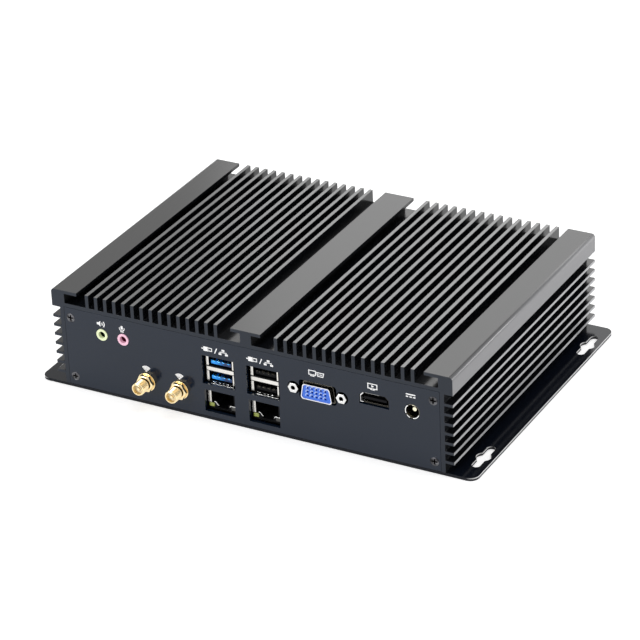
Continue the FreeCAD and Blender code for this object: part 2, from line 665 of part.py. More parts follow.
def cross(width, reach):
    """The outline of a cross with arms of the given width."""
    w, r = f"({width} / 2)", f"({reach})"
    quarter = [(r, f"-{w}"), (r, w), (w, w)]
    corners = []
    for turn in range(4):
        for x, z in quarter:
            for step in range(turn):
                x, z = f"-({z})", x
            corners.append((x, z))
    return corners


def screws(label, place, facing, length, runs, head=None):
    """Screws with their heads at place; countersunk, or with a pan head (radius, height)."""
    body = new_body(label, *place, facing=facing)
    if head:
        radius, height = head
        profile = [("0", "0"), (radius, "0"), (radius, height), ("shank_radius", height)]
    else:
        height = "head_height"
        profile = [("0", "0"), ("head_radius", "0"), ("shank_radius", height)]
    tip = f"{height} + {length}"
    spun = spin(body, profile + [("shank_radius", tip), ("0", tip)])
    recess = cut(body, "XZ", [cross("cross_width", "head_radius * 0.62")], "0", "cross_depth")
    repeat(body, [spun, recess], *runs)


def panel(label, y, facing, holes, cuts):
    """An end panel with round holes and other cut-outs, and four countersunk holes."""
    body = new_body(label, y=y, facing=facing)
    outline = block(f"-{PANEL_HALF}", PANEL_HALF, PANEL_LOW, PANEL_TOP)
    add(body, "XZ", [outline], "0", "panel_thick")
    passages = [(f"{sign}{SCREW_X}", z, "shank_radius + hole_gap")
                for sign in ("", "-") for z in (SCREW_LOW, SCREW_HIGH)]
    cut(body, "XZ", holes + passages, "0", "panel_thick")
    for loops in cuts:
        cut(body, "XZ", loops, "0", "panel_thick")
    def window_corner(middle, direction, box):
        height = abs(middle.z - VALUE["board_low"] + VALUE["dee_drop"])
        return along(direction, Y_AXIS) and near(height, VALUE["dee_cut_height"] / 2)
    round_edges(body, "dee_cut_round", window_corner)
    sink = countersink(body, "XZ", (f"-{SCREW_X}", SCREW_LOW, "-head_height"),
                       "shank_radius + thread_gap", "head_radius + thread_gap", "head_height")
    repeat(body, [sink], ("X", f"2 * {SCREW_X}", "2"), ("Z", f"{SCREW_HIGH} - {SCREW_LOW}", "2"))
    return body


def bus_cut(x):
    return rectangle(x, "bus_z", "bus_cut_width", "bus_cut_height")


def dee_cuts(x):
    """Cut-outs for a D-shaped port: the window, then the holes round its jack screws."""
    window = rectangle(x, "dee_z", "dee_cut_width", "dee_cut_height")
    posts = [(f"{x} {sign} hexpost_pitch / 2", "dee_z", "hexpost_cut_radius") for sign in "+-"]
    return window, posts


def front_panel():
    stacks = ["stack_x", "(stack_x + stack_pitch)"]
    nets = [rectangle(x, "net_cut_low + net_cut_height / 2", "net_cut_width", "net_cut_height")
            for x in stacks]
    window, posts = dee_cuts("video_x")
    display_high = "display_top + display_cut_over"
    holes = [(x, "jack_z", "jack_barrel_radius + fit_gap") for x in
             ("speaker_x", "(speaker_x + jack_pitch)")]
    holes += [(x, "antenna_z", "antenna_neck + fit_gap") for x in
              ("antenna_x", "(antenna_x + antenna_pitch)")]
    holes += [("inlet_x", "inlet_z", "inlet_cut_radius")]
    display_cut = display_outline("display_x", "display_cut_width",
                                  f"{display_high} - display_cut_height", display_high)
    cuts = [[bus_cut(x) for x in stacks] + nets + [window, display_cut], posts]
    panel("front_panel", FRONT, AHEAD, holes, cuts)


def rear_panel():
    places = ["serial_x", "(serial_x - serial_pitch)"]
    pairs = [dee_cuts(x) for x in places]
    holes = [("button_x", "button_z", "button_radius + button_gap + bezel_wall + fit_gap")]
    holes += [(x, "button_z", "pilot_radius + fit_gap") for x in
              ("pilot_x", "(pilot_x + pilot_pitch)")]
    windows = [bus_cut("rear_bus_x")] + [window for window, posts in pairs]
    cuts = [windows, [hole for window, posts in pairs for hole in posts]]
    panel("rear_panel", REAR, TURNED, holes, cuts)


def panel_screws():
    runs = (("X", f"2 * {SCREW_X}", "2"), ("Z", f"{SCREW_HIGH} - {SCREW_LOW}", "2"))
    place = (f"-{SCREW_X}", FRONT, SCREW_LOW)
    screws("front_panel_screws", place, AHEAD, "shank_length", runs)
    place = (SCREW_X, REAR, SCREW_LOW)
    screws("rear_panel_screws", place, TURNED, "shank_length", runs)
    runs = (("X", f"2 * {SCREW_X}", "2"), ("Z", f"2 * {BASE_SCREW_Y}", "2"))
    place = (f"-{SCREW_X}", BASE_SCREW_Y, "0")
    screws("base_plate_screws", place, UPWARDS, "shank_length - head_height", runs)


# ---------------------------------------------------------------- mainboard and cards

def mainboard():
    """The board, its posts under the deck and the screws that hold it from below."""
    body = new_body("mainboard", y="0")
    outline = rectangle("0", "0", f"2 * {BOARD_HALF_WIDTH}", f"2 * {BOARD_HALF_DEPTH}")
    add(body, "XY", [outline], "board_low", "board_thick")
    cut(body, "XY", four(POST_X, POST_Y, "shank_radius + hole_gap"), "board_low", "board_thick")

    body = new_body("board_posts", y="0")
    add(body, "XY", four(POST_X, POST_Y, "post_radius"), BOARD_TOP, f"{CEILING} - {BOARD_TOP}")
    cut(body, "XY", four(POST_X, POST_Y, "shank_radius + thread_gap"), BOARD_TOP,
        "board_screw_length - board_thick")
    add(body, "XY", four(POST_X, POST_Y, "shank_radius"), CEILING, "post_stud")

    runs = (("X", f"2 * {POST_X}", "2"), ("Z", f"2 * {POST_Y}", "2"))
    screws("board_screws", (f"-{POST_X}", POST_Y, "board_low - board_head_height"), UPWARDS,
           "board_screw_length", runs, head=("board_head_radius", "board_head_height"))


def processor():
    """The processor, and the plate that leads its heat into the deck."""
    package = rectangle("0", "processor_y", "processor_width", "processor_length")
    body = new_body("processor", y="0")
    add(body, "XY", [package], BOARD_TOP, "processor_thick")
    body = new_body("thermal_pad", y="0")
    add(body, "XY", [package], f"{BOARD_TOP} + processor_thick", "pad_thick")

    body = new_body("heat_spreader", y="0")
    outline = rectangle("0", "processor_y", "spreader_width", "spreader_length")
    add(body, "XY", [outline], SPREADER_LOW, f"{CEILING} - {SPREADER_LOW}")
    holes = four(SPREADER_X, SPREADER_Y, "shank_radius + hole_gap", middle="processor_y")
    cut(body, "XY", holes, SPREADER_LOW, f"{CEILING} - {SPREADER_LOW}")
    place = (f"-{SPREADER_X}", f"processor_y - {SPREADER_Y}", SPREADER_LOW)
    sink = countersink(body, "XY", place, "head_radius + thread_gap",
                       "shank_radius + thread_gap", "head_height")
    runs = (f"2 * {SPREADER_X}", "2"), (f"2 * {SPREADER_Y}", "2")
    repeat(body, [sink], ("X", *runs[0]), ("Y", *runs[1]))
    place = (f"-{SPREADER_X}", f"processor_y + {SPREADER_Y}", SPREADER_LOW)
    screws("heat_spreader_screws", place, UPWARDS, "spreader_screw_length",
           (("X", *runs[0]), ("Z", *runs[1])))


def memory():
    """The memory module with its chips, in its socket under the mainboard."""
    rear_edge = "(module_y + module_length / 2)"
    socket_y = f"({rear_edge} - socket_grip + socket_depth / 2)"
    body = new_body("memory_socket", y="0")
    outline = rectangle("module_x", socket_y, "module_width + 2 * holder_wall", "socket_depth")
    add(body, "XY", [outline], "board_low - socket_height", "socket_height")
    slot = rectangle("module_x", f"{rear_edge} - socket_grip / 2", "module_width", "socket_grip")
    cut(body, "XY", [slot], CARD_LOW, "card_thick")

    body = new_body("memory_module", y="0")
    outline = rectangle("module_x", "module_y", "module_width", "module_length")
    add(body, "XY", [outline], CARD_LOW, "card_thick")

    body = new_body("memory_chips", y="0")
    chip = rectangle("module_x - 1.5 * chip_pitch", "module_y", "chip_width", "chip_width * 1.2")
    chips = add(body, "XY", [chip], f"{CARD_LOW} - chip_thick", "chip_thick")
    repeat(body, [chips], ("X", "3 * chip_pitch", "4"))


def cards():
    """The storage card and the wireless card under the mainboard."""
    socket_y = f"({CARD_END} - socket_grip + socket_depth / 2)"
    places = {"storage_card": "storage_x", "wireless_card": WIRELESS_X}
    body = new_body("card_sockets", y="0")
    outlines = [rectangle(x, socket_y, "card_width + 2 * holder_wall", "socket_depth")
                for x in places.values()]
    add(body, "XY", outlines, "board_low - socket_height", "socket_height")
    slots = [rectangle(x, f"{CARD_END} - socket_grip / 2", "card_width", "socket_grip")
             for x in places.values()]
    cut(body, "XY", slots, CARD_LOW, "card_thick")

    for label, x in places.items():
        body = new_body(label, y="0")
        outline = rectangle(x, "card_y", "card_width", "card_length")
        add(body, "XY", [outline], CARD_LOW, "card_thick")

    body = new_body("card_chips", y="0")
    chips = [rectangle(x, "card_y + chip_pitch / 2", "chip_pitch", "chip_pitch")
             for x in places.values()]
    add(body, "XY", chips, f"{CARD_LOW} - chip_thick", "chip_thick")

    body = new_body("card_posts", y="0")
    posts = [(f"{x} {sign} {CARD_POST_X}", CARD_POST_Y, "post_radius")
             for x in places.values() for sign in "+-"]
    add(body, "XY", posts, f"{CARD_LOW} + card_thick", "card_drop")


def coin_cell():
    """The coin cell that keeps the clock running, in its holder under the mainboard."""
    holder_radius = "cell_radius + holder_wall"
    body = new_body("coin_cell_holder", y="0")
    add(body, "XY", [("cell_x", "cell_y", holder_radius)],
        "board_low - holder_wall - cell_thick", "holder_wall + cell_thick")
    cut(body, "XY", [("cell_x", "cell_y", "cell_radius")],
        "board_low - holder_wall - cell_thick", "cell_thick")
    body = new_body("coin_cell", y="0")
    add(body, "XY", [("cell_x", "cell_y", "cell_radius")],
        "board_low - holder_wall - cell_thick", "cell_thick")


# ---------------------------------------------------------------- audio and antenna jacks

def audio_jack(label, x):
    """A jack whose barrel stands in the panel and whose body hangs from the mainboard."""
    body = new_body(label, x=x)
    back = "(panel_thick + fit_gap)"
    add(body, "XZ", [block("-jack_body_width / 2", "jack_body_width / 2",
                           "jack_z - jack_body_drop", "board_low")], back, "jack_body_depth")
    add(body, "XZ", [("0", "jack_z", "jack_barrel_radius")],
        "-jack_proud", f"jack_proud + {back}")
    cut(body, "XZ", [("0", "jack_z", "jack_bore_radius")], "-jack_proud", "jack_bore_depth")


def ring(label, x, z, outer, inner, start, length, y=FRONT, facing=AHEAD):
    """A tube about a panel's y direction."""
    body = new_body(label, x=x, y=y, facing=facing)
    add(body, "XZ", [("0", z, outer), ("0", z, inner)], start, length)
    return body


def antenna_jacks():
    """Threaded antenna jacks with their nuts and washers in front of the panel."""
    tail = "(panel_thick + antenna_head_height)"
    mouth = "(-antenna_proud)"
    neck = "(antenna_washer_height + antenna_nut_height + antenna_relief)"
    for label, x in (("antenna_jack_left", "antenna_x"),
                     ("antenna_jack_right", "antenna_x + antenna_pitch")):
        body = new_body(label, x=x)
        add(body, "XZ", [hexagon("0", "antenna_z", "antenna_flats")],
            "panel_thick", "antenna_head_height")
        add(body, "XZ", [("0", "antenna_z", "antenna_neck")], f"-{neck}",
            f"{neck} + panel_thick")
        add(body, "XZ", [("0", "antenna_z", "antenna_radius")], mouth, f"antenna_proud - {neck}")
        add(body, "XZ", [("0", "antenna_z", "antenna_tail_radius")], tail, "antenna_tail_length")
        cut(body, "XZ", [("0", "antenna_z", "antenna_bore")], mouth,
            "antenna_proud + panel_thick + antenna_head_height / 2")

    run = ("X", "antenna_pitch", "2")
    washer = new_body("antenna_washers", x="antenna_x")
    outline = [("0", "antenna_z", "antenna_washer_radius"),
               ("0", "antenna_z", "antenna_neck + thread_gap")]
    repeat(washer, [add(washer, "XZ", outline, "-antenna_washer_height",
                        "antenna_washer_height")], run)
    nut = new_body("antenna_nuts", x="antenna_x")
    outline = [hexagon("0", "antenna_z", "antenna_flats"),
               ("0", "antenna_z", "antenna_neck + thread_gap")]
    repeat(nut, [add(nut, "XZ", outline, "-antenna_washer_height - antenna_nut_height",
                     "antenna_nut_height")], run)
    depth = "(antenna_proud + panel_thick + antenna_head_height / 2)"
    filler = new_body("antenna_insulators", x="antenna_x")
    outline = [("0", "antenna_z", "antenna_bore"), ("0", "antenna_z", "antenna_pin")]
    repeat(filler, [add(filler, "XZ", outline, f"{mouth} + antenna_recess",
                        f"{depth} - antenna_recess")], run)
    pin = new_body("antenna_contacts", x="antenna_x")
    repeat(pin, [add(pin, "XZ", [("0", "antenna_z", "antenna_pin")],
                     f"{mouth} + antenna_recess / 2", f"{depth} - antenna_recess / 2")], run)


def antenna_leads():
    """Coaxial leads that run back from the jacks and bend up to the wireless card."""
    body = new_body("antenna_leads", x="antenna_x")
    start = "(panel_thick + antenna_head_height + antenna_tail_length)"
    level = [("0", "antenna_z", "lead_radius")]
    straight = add(body, "XZ", level, start, f"lead_run - lead_bend - {start}")
    bend = new_sketch(body, "XZ", "lead_run - lead_bend")
    draw(bend, level)
    centre = bend.addGeometry(Part.LineSegment(Vector(1, 20, 0), Vector(9, 20, 0)), True)
    fix_point(bend, centre, 1, ("0", "antenna_z + lead_bend"), (1, 20))
    fix_point(bend, centre, 2, ("lead_radius", "antenna_z + lead_bend"), (9, 20))
    arc = body.newObject("PartDesign::Revolution", "antenna_leads_Bend")
    arc.Profile = bend
    arc.ReferenceAxis = (bend, ["Axis0"])
    arc.Angle = 90
    doc.recompute()
    if arc.Shape.BoundBox.ZMax < VALUE["antenna_z"] + VALUE["lead_bend"] / 2:
        arc.Reversed = True
        doc.recompute()
    rising = add(body, "XY", [("0", "lead_run", "lead_radius")], "antenna_z + lead_bend",
                 f"{CARD_LOW} - antenna_z - lead_bend")
    repeat(body, [straight, arc, rising], ("X", "antenna_pitch", "2"))


# ---------------------------------------------------------------- stacked ports

def bus_mouths():
    """The mouths of two universal serial ports, one above the other."""
    half = "bus_width / 2"
    return [block(f"-{half}", half, low, f"{low} + bus_height")
            for low in (STACK_LOW_MOUTH, STACK_TOP_MOUTH)]


def lamp_places():
    """Sides of a network port's two lamps."""
    outer = "(stack_width / 2 - lamp_edge)"
    inner = "(stack_width / 2 - lamp_edge - lamp_width)"
    return [(f"-{outer}", f"-{inner}"), (inner, outer)]


def lamp_outlines():
    low = "(net_low - lamp_height - shield_thick)"
    return [block(left, right, low, f"{low} + lamp_height") for left, right in lamp_places()]


def net_mouth():
    """A network port's mouth together with the notch for the latch below it."""
    half, notch = "net_width / 2", "latch_width / 2"
    low = "net_low - latch_height"
    return [(f"-{notch}", low), (notch, low), (notch, "net_low"), (half, "net_low"),
            (half, "net_low + net_height"), (f"-{half}", "net_low + net_height"),
            (f"-{half}", "net_low"), (f"-{notch}", "net_low")]


def port_shield(label, x, low, depth, windows, y=FRONT, facing=AHEAD):
    """A sheet-metal box, open behind, with windows in its front."""
    body = new_body(label, x=x, y=y, facing=facing)
    half = "stack_width / 2"
    add(body, "XZ", [block(f"-{half}", half, low, "board_low")], "stack_setback", depth)
    inner = "(stack_width / 2 - shield_thick)"
    cut(body, "XZ", [block(f"-{inner}", inner, f"{low} + shield_thick",
                           "board_low - shield_thick")],
        "stack_setback + shield_thick", f"{depth} - shield_thick")
    cut(body, "XZ", windows, "stack_setback", "shield_thick")
    return body


def port_core(label, x, low, depth, cavities, y=FRONT, facing=AHEAD):
    """The plastic body that fills a port's shield; a cavity is (loops, depth)."""
    body = new_body(label, x=x, y=y, facing=facing)
    inner = "(stack_width / 2 - shield_thick)"
    start = "(stack_setback + shield_thick)"
    add(body, "XZ", [block(f"-{inner}", inner, f"{low} + shield_thick",
                           "board_low - shield_thick")], start, f"{depth} - shield_thick")
    for loops, far in cavities:
        cut(body, "XZ", loops, start, f"{far} - shield_thick")
    return body


def add_tongues(body):
    """Tongues that stand in the mouths of two universal serial ports."""
    half = "tongue_width / 2"
    tongues = [block(f"-{half}", half, f"{low} + tongue_lift", f"{low} + tongue_lift + tongue_thick")
               for low in (STACK_LOW_MOUTH, STACK_TOP_MOUTH)]
    return add(body, "XZ", tongues, "stack_setback + tongue_setback", "bus_depth - tongue_setback")


def stacked_port(side, x):
    """Two universal serial ports above a network port."""
    mouths, net, lamps = bus_mouths(), net_mouth(), lamp_outlines()
    outer, foot = "(stack_width / 2 - lamp_edge)", "(net_low - lamp_height - 2 * shield_thick)"
    window = [(f"-{outer}", foot), (outer, foot), (outer, "net_low + net_height"),
              ("-net_width / 2", "net_low + net_height"), ("-net_width / 2", "net_low"),
              (f"-{outer}", "net_low")]
    port_shield(f"{side}_ports_shield", x, "stack_low", "stack_depth", mouths + [window])
    port_core(f"{side}_ports_core", x, "stack_low", "stack_depth",
              [(mouths, "bus_depth"), ([net], "net_depth"), (lamps, "lamp_depth")])
    add_tongues(new_body(f"{side}_ports_tongues", x=x))


def port_lamps_and_contacts():
    """Lamps and contacts of both stacked ports."""
    run = ("X", "stack_pitch", "2")
    body = new_body("network_lamps", x="stack_x")
    repeat(body, [add(body, "XZ", lamp_outlines(), "stack_setback", "lamp_depth")], run)

    body = new_body("port_contacts", x="stack_x")
    wire = rectangle("-3.5 * net_contact_pitch", "net_low + net_height - net_contact_width",
                     "net_contact_width", "2 * net_contact_width")
    wires = add(body, "XZ", [wire], "stack_setback + tongue_setback", "net_depth - tongue_setback")
    repeat(body, [wires], ("X", "7 * net_contact_pitch", "8"), ("X", "stack_pitch", "2"))
    strips = [rectangle("-1.5 * contact_pitch", f"{low} + tongue_lift + tongue_thick + fit_gap / 2",
                        "contact_width", "fit_gap") for low in (STACK_LOW_MOUTH, STACK_TOP_MOUTH)]
    faces = add(body, "XZ", strips, "stack_setback + 2 * tongue_setback",
                "bus_depth - 2 * tongue_setback")
    repeat(body, [faces], ("X", "3 * contact_pitch", "4"), ("X", "stack_pitch", "2"))


def rear_bus_ports():
    """Two universal serial ports, one above the other, in the rear panel."""
    low = f"({STACK_LOW_MOUTH} - shield_thick * 2)"
    depth = "(bus_depth + stack_setback * 2)"
    place = ("-rear_bus_x", low, depth)
    port_shield("rear_ports_shield", *place, bus_mouths(), y=REAR, facing=TURNED)
    core = port_core("rear_ports_core", *place, [(bus_mouths(), "bus_depth")],
                     y=REAR, facing=TURNED)
    add_tongues(core)


# ---------------------------------------------------------------- D-shaped ports

def dee_shield(label, x, y, facing, run=None):
    """A flange with a D-shaped shell in front of it."""
    body = new_body(label, x=x, y=y, facing=facing)
    flange = rectangle("0", "dee_z", "dee_flange_width", "dee_flange_height")
    plate = add(body, "XZ", [flange], DEE_FLANGE_Y, "flange_thick")
    shell = add(body, "XZ", [dee("0", "dee_z")], "-dee_proud", "dee_shell_length")
    inside = dee("0", "dee_z", "-shield_thick")
    hollow = cut(body, "XZ", [inside], "-dee_proud", "dee_shell_length + flange_thick")
    studs = [(f"{sign}hexpost_pitch / 2", "dee_z", "hexpost_stud + thread_gap")
             for sign in ("", "-")]
    holes = cut(body, "XZ", studs, DEE_FLANGE_Y, "flange_thick")
    if run:
        repeat(body, [plate, shell, hollow, holes], run)

    def shell_corner(middle, direction, box):
        return along(direction, Y_AXIS) and middle.y < box.YMax - VALUE["flange_thick"]
    round_edges(body, "dee_round", shell_corner)


def plug_corner(middle, direction, box):
    """Tells the edges of a D-shaped plug from those of the block behind it."""
    return along(direction, Y_AXIS) and middle.y < box.Center.y


def dee_core(body, front):
    """The insulator: a plug in the shell and a block between flange and mainboard."""
    behind = f"({DEE_FLANGE_Y} + flange_thick)"
    half = "dee_flange_width / 2"
    solid = add(body, "XZ", [block(f"-{half}", half, "dee_z - dee_flange_height / 2",
                                   "board_low")], behind, "dee_body_depth")
    plug = add(body, "XZ", [dee("0", "dee_z", "-shield_thick")], front, f"{behind} - ({front})")
    studs = [(f"{sign}hexpost_pitch / 2", "dee_z", "hexpost_stud + thread_gap")
             for sign in ("", "-")]
    holes = cut(body, "XZ", studs, behind, "hexpost_stud_length")
    return [solid, plug, holes]


def jackscrews(label, x, y, facing, *runs):
    """Hexagonal posts with a threaded hole, which hold the flange of a D-shaped port."""
    body = new_body(label, x=x, y=y, facing=facing)
    features = [
        add(body, "XZ", [hexagon("0", "dee_z", "hexpost_flats")],
            "-hexpost_proud", f"hexpost_proud + {DEE_FLANGE_Y}"),
        add(body, "XZ", [("0", "dee_z", "hexpost_stud")], DEE_FLANGE_Y,
            "flange_thick + hexpost_stud_length"),
        cut(body, "XZ", [("0", "dee_z", "hexpost_hole")], "-hexpost_proud", "hexpost_depth")]
    repeat(body, features, *runs)


def video_port():
    """The video port: an insulator with three rows of five contact holes."""
    dee_shield("video_shield", "video_x", FRONT, AHEAD)
    body = new_body("video_core", x="video_x")
    front = "(dee_inset - dee_proud)"
    dee_core(body, front)
    round_edges(body, "dee_round", plug_corner)
    first = [("-2 * pin_pitch", "dee_z - pin_row", "pin_hole")]
    holes = cut(body, "XZ", first, front, "dee_shell_length")
    repeat(body, [holes], ("X", "4 * pin_pitch", "5"), ("Z", "2 * pin_row", "3"))
    jackscrews("video_jackscrews", "video_x - hexpost_pitch / 2", FRONT, AHEAD,
               ("X", "hexpost_pitch", "2"))


def serial_ports():
    """Two serial ports with nine pins each, in the rear panel."""
    place = ("-(serial_x - serial_pitch)", REAR, TURNED)
    run = ("X", "serial_pitch", "2")
    dee_shield("serial_shields", *place, run=run)
    body = new_body("serial_cores", x=place[0], y=REAR, facing=TURNED)
    base = "(dee_shell_length - dee_proud - dee_inset)"
    repeat(body, dee_core(body, base), run)
    round_edges(body, "dee_round", plug_corner)
    body = new_body("serial_pins", x=place[0], y=REAR, facing=TURNED)
    start = f"({base} - serial_pin_length)"
    for count, level, offset in ((5, "dee_z - serial_pin_row / 2", "2"),
                                 (4, "dee_z + serial_pin_row / 2", "1.5")):
        pin = add(body, "XZ", [(f"-{offset} * serial_pin_pitch", level, "serial_pin_radius")],
                  start, "serial_pin_length")
        repeat(body, [pin], ("X", f"{count - 1} * serial_pin_pitch", count), run)
    jackscrews("serial_jackscrews", f"{place[0]} + hexpost_pitch / 2", REAR, TURNED,
               ("X", "hexpost_pitch", "2"), run)


# ---------------------------------------------------------------- display port and inlet

def display_port():
    """The display port: a chamfered shield with feet on the mainboard, and a tongue."""
    body = new_body("display_shield", x="display_x")
    outside = display_outline("0", "display_width", DISPLAY_LOW, "display_top")
    add(body, "XZ", [outside], "display_setback", "display_depth")
    cut(body, "XZ", [display_inside()], "display_setback", "display_depth")
    foot = "display_tongue_width / 2"
    add(body, "XZ", [block(f"-{foot}", foot, "display_top", "board_low")],
        "board_setback + display_setback", "display_depth / 2")

    body = new_body("display_core", x="display_x")
    middle = "(display_setback + display_depth * 0.6)"
    add(body, "XZ", [display_inside()], middle, "display_depth * 0.4")
    tongue = rectangle("0", f"{DISPLAY_LOW} + display_height * 0.42",
                       "display_tongue_width", "display_tongue_thick")
    add(body, "XZ", [tongue], "2 * display_setback", f"{middle} - 2 * display_setback")


def power_inlet():
    """The power inlet: a sleeve and a pin in an insulator under the mainboard."""
    back = "(panel_thick + fit_gap)"
    body = new_body("inlet_body", x="inlet_x")
    half = "inlet_body_width / 2"
    add(body, "XZ", [block(f"-{half}", half, f"inlet_z - {half}", "board_low")],
        back, "inlet_depth")
    cut(body, "XZ", [("0", "inlet_z", "inlet_sleeve_radius")], back, "inlet_depth * 0.75")
    ring("inlet_sleeve", "inlet_x", "inlet_z", "inlet_sleeve_radius", "inlet_bore_radius",
         "inlet_setback", f"{back} - inlet_setback + inlet_depth * 0.75")
    body = new_body("inlet_pin", x="inlet_x")
    add(body, "XZ", [("0", "inlet_z", "inlet_pin_radius")], "inlet_pin_setback",
        f"{back} + inlet_depth * 0.75 - inlet_pin_setback")


# ---------------------------------------------------------------- power button and lamps

def power_button():
    """The power button in its bezel, with the switch that it pushes and two lamps."""
    tube = "(button_radius + button_gap + bezel_wall)"
    bore = "(button_radius + button_gap)"
    place = {"x": "-button_x", "y": REAR, "facing": TURNED}
    body = new_body("button_bezel", **place)
    add(body, "XZ", [("0", "button_z", "bezel_radius"), ("0", "button_z", bore)],
        "-bezel_proud", "bezel_proud")
    add(body, "XZ", [("0", "button_z", tube), ("0", "button_z", bore)], "0", "bezel_depth")

    body = new_body("power_button", **place)
    front = "(-bezel_proud - button_proud)"
    add(body, "XZ", [("0", "button_z", "button_radius")], front, f"cap_depth - {front}")
    add(body, "XZ", [("0", "button_z", "stem_radius")], "cap_depth", f"{STEM_END} - cap_depth")

    body = new_body("power_switch", **place)
    add(body, "XZ", [rectangle("0", "button_z", "switch_width", "switch_width")],
        "bezel_depth", "switch_depth")

    body = new_body("pilot_lamps", x="-pilot_x", y=REAR, facing=TURNED)
    lens = add(body, "XZ", [("0", "button_z", "pilot_radius")], "-pilot_proud", "pilot_length")
    repeat(body, [lens], ("X", "pilot_pitch", "2"))


# ---------------------------------------------------------------- checks and export

CUTS = ("PartDesign::Pocket", "PartDesign::SubtractiveCone")


def check():
    """Stops when a feature failed, a cut removed nothing or a sub-part is not sound."""
    for item in doc.Objects:
        if "Invalid" in item.State or "Error" in item.State:
            raise RuntimeError(f"{item.Name} is {item.State}")
        if item.TypeId in CUTS and item.BaseFeature:
            if item.Shape.Volume > item.BaseFeature.Shape.Volume - 0.001:
                raise RuntimeError(f"{item.Name} cuts nothing")
    for body in bodies:
        if body.Shape.isNull() or not body.Shape.isValid():
            raise RuntimeError(f"{body.Label} is not sound")


def export():
    os.makedirs("parts", exist_ok=True)
    for body in bodies:
        body.Shape.exportStep(f"parts/{body.Label}.step")
        print(body.Label, len(body.Shape.Solids), round(body.Shape.Volume), flush=True)


def main():
    fill_sheet()
    heatsink_housing()
    base_plate()
    front_panel()
    rear_panel()
    panel_screws()
    mainboard()
    processor()
    memory()
    cards()
    coin_cell()
    audio_jack("speaker_jack", "speaker_x")
    audio_jack("microphone_jack", "speaker_x + jack_pitch")
    antenna_jacks()
    antenna_leads()
    stacked_port("left", "stack_x")
    stacked_port("right", "stack_x + stack_pitch")
    port_lamps_and_contacts()
    rear_bus_ports()
    video_port()
    serial_ports()
    display_port()
    power_inlet()
    power_button()
    doc.recompute()
    check()
    export()


main()
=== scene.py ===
import math

import bmesh
import bpy
from mathutils import Matrix, Vector


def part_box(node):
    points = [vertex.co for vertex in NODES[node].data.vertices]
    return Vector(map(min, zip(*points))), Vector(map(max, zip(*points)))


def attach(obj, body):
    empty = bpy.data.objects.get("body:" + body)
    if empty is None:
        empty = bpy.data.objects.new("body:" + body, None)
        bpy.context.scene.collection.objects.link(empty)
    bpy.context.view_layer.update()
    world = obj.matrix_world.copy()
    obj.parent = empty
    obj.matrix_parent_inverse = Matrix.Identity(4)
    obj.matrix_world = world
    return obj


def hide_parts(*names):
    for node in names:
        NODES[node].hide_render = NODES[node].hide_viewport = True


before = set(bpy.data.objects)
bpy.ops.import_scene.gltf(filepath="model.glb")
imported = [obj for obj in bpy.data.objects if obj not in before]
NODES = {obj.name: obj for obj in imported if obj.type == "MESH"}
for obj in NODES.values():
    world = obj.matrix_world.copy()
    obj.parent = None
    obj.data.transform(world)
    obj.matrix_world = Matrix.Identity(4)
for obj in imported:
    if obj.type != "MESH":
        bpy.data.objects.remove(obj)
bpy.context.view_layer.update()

# Lengths are in millimetres, apart from those of the camera, the lamps and the floor.
MM = 0.001
FACE = -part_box("front_panel")[0].y / MM  # the outer face of the port panel lies at y = -FACE
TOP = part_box("heatsink_housing")[1].z / MM
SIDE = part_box("heatsink_housing")[1].x / MM
STACKS = ("left_ports_shield", "right_ports_shield")


def middle_of(node):
    """Middle of a CAD node's box in x and z."""
    low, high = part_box(node)
    return (low.x + high.x) / 2 / MM, (low.z + high.z) / 2 / MM


def foot_of(node):
    """Middle of a CAD node's box in x, and its lowest height."""
    return middle_of(node)[0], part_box(node)[0].z / MM


# ---------------------------------------------------------------- camera, light and ground

CAMERA_PLACE = (0.6491, -1.1485, 0.7275)
CAMERA_AZIMUTH, CAMERA_ELEVATION, CAMERA_ROLL = (math.radians(a) for a in (29.64, 28.22, -2.61))
LENS, SENSOR = 174.95, 36.0

WORLD_LIGHT = 0.55
LAMPS = (  # name, place, aim, size and power in watts
    ("back", (-0.3, 1.32, 0.75), (0.03, 0, 0.05), (1.0, 0.8), 4),
    ("top", (0.25, 0.1, 1.5), (0, 0, 0), (0.9, 0.9), 5),
    ("right", (1.3, 0.75, 0.22), (0.1, 0, 0.03), (0.9, 0.42), 9),
    ("front", (-0.7, -1.3, 0.45), (0, -0.05, 0.03), (0.7, 0.5), 9),
)

FLOOR_SIZE, FLOOR_DROP = 8, 0.0002
FLOOR_GREY, FLOOR_GLOW = 0.9, 0.5


def camera():
    """The photograph's viewpoint, solved from its straight edges."""
    flat = math.cos(CAMERA_ELEVATION)
    back = Vector((math.sin(CAMERA_AZIMUTH) * flat, -math.cos(CAMERA_AZIMUTH) * flat,
                   math.sin(CAMERA_ELEVATION)))
    right = Vector((math.cos(CAMERA_AZIMUTH), math.sin(CAMERA_AZIMUTH), 0))
    up = back.cross(right)
    side = right * math.cos(CAMERA_ROLL) + up * math.sin(CAMERA_ROLL)
    top = up * math.cos(CAMERA_ROLL) - right * math.sin(CAMERA_ROLL)
    data = bpy.data.cameras.new("camera")
    data.lens, data.sensor_width = LENS, SENSOR
    data.clip_start, data.clip_end = 0.05, 20
    seen = bpy.data.objects.new("camera", data)
    turn = Matrix((side, top, back)).transposed().to_4x4()
    seen.matrix_world = Matrix.Translation(CAMERA_PLACE) @ turn
    bpy.context.scene.collection.objects.link(seen)
    bpy.context.scene.camera = seen


def lamp(name, place, aim, size, power):
    """A rectangular lamp that faces its aim."""
    data = bpy.data.lights.new(name, "AREA")
    data.shape = "RECTANGLE"
    data.size, data.size_y = size
    data.energy = power
    made = bpy.data.objects.new(name, data)
    made.location = place
    made.rotation_mode = "QUATERNION"
    made.rotation_quaternion = (Vector(place) - Vector(aim)).to_track_quat("Z", "Y")
    bpy.context.scene.collection.objects.link(made)


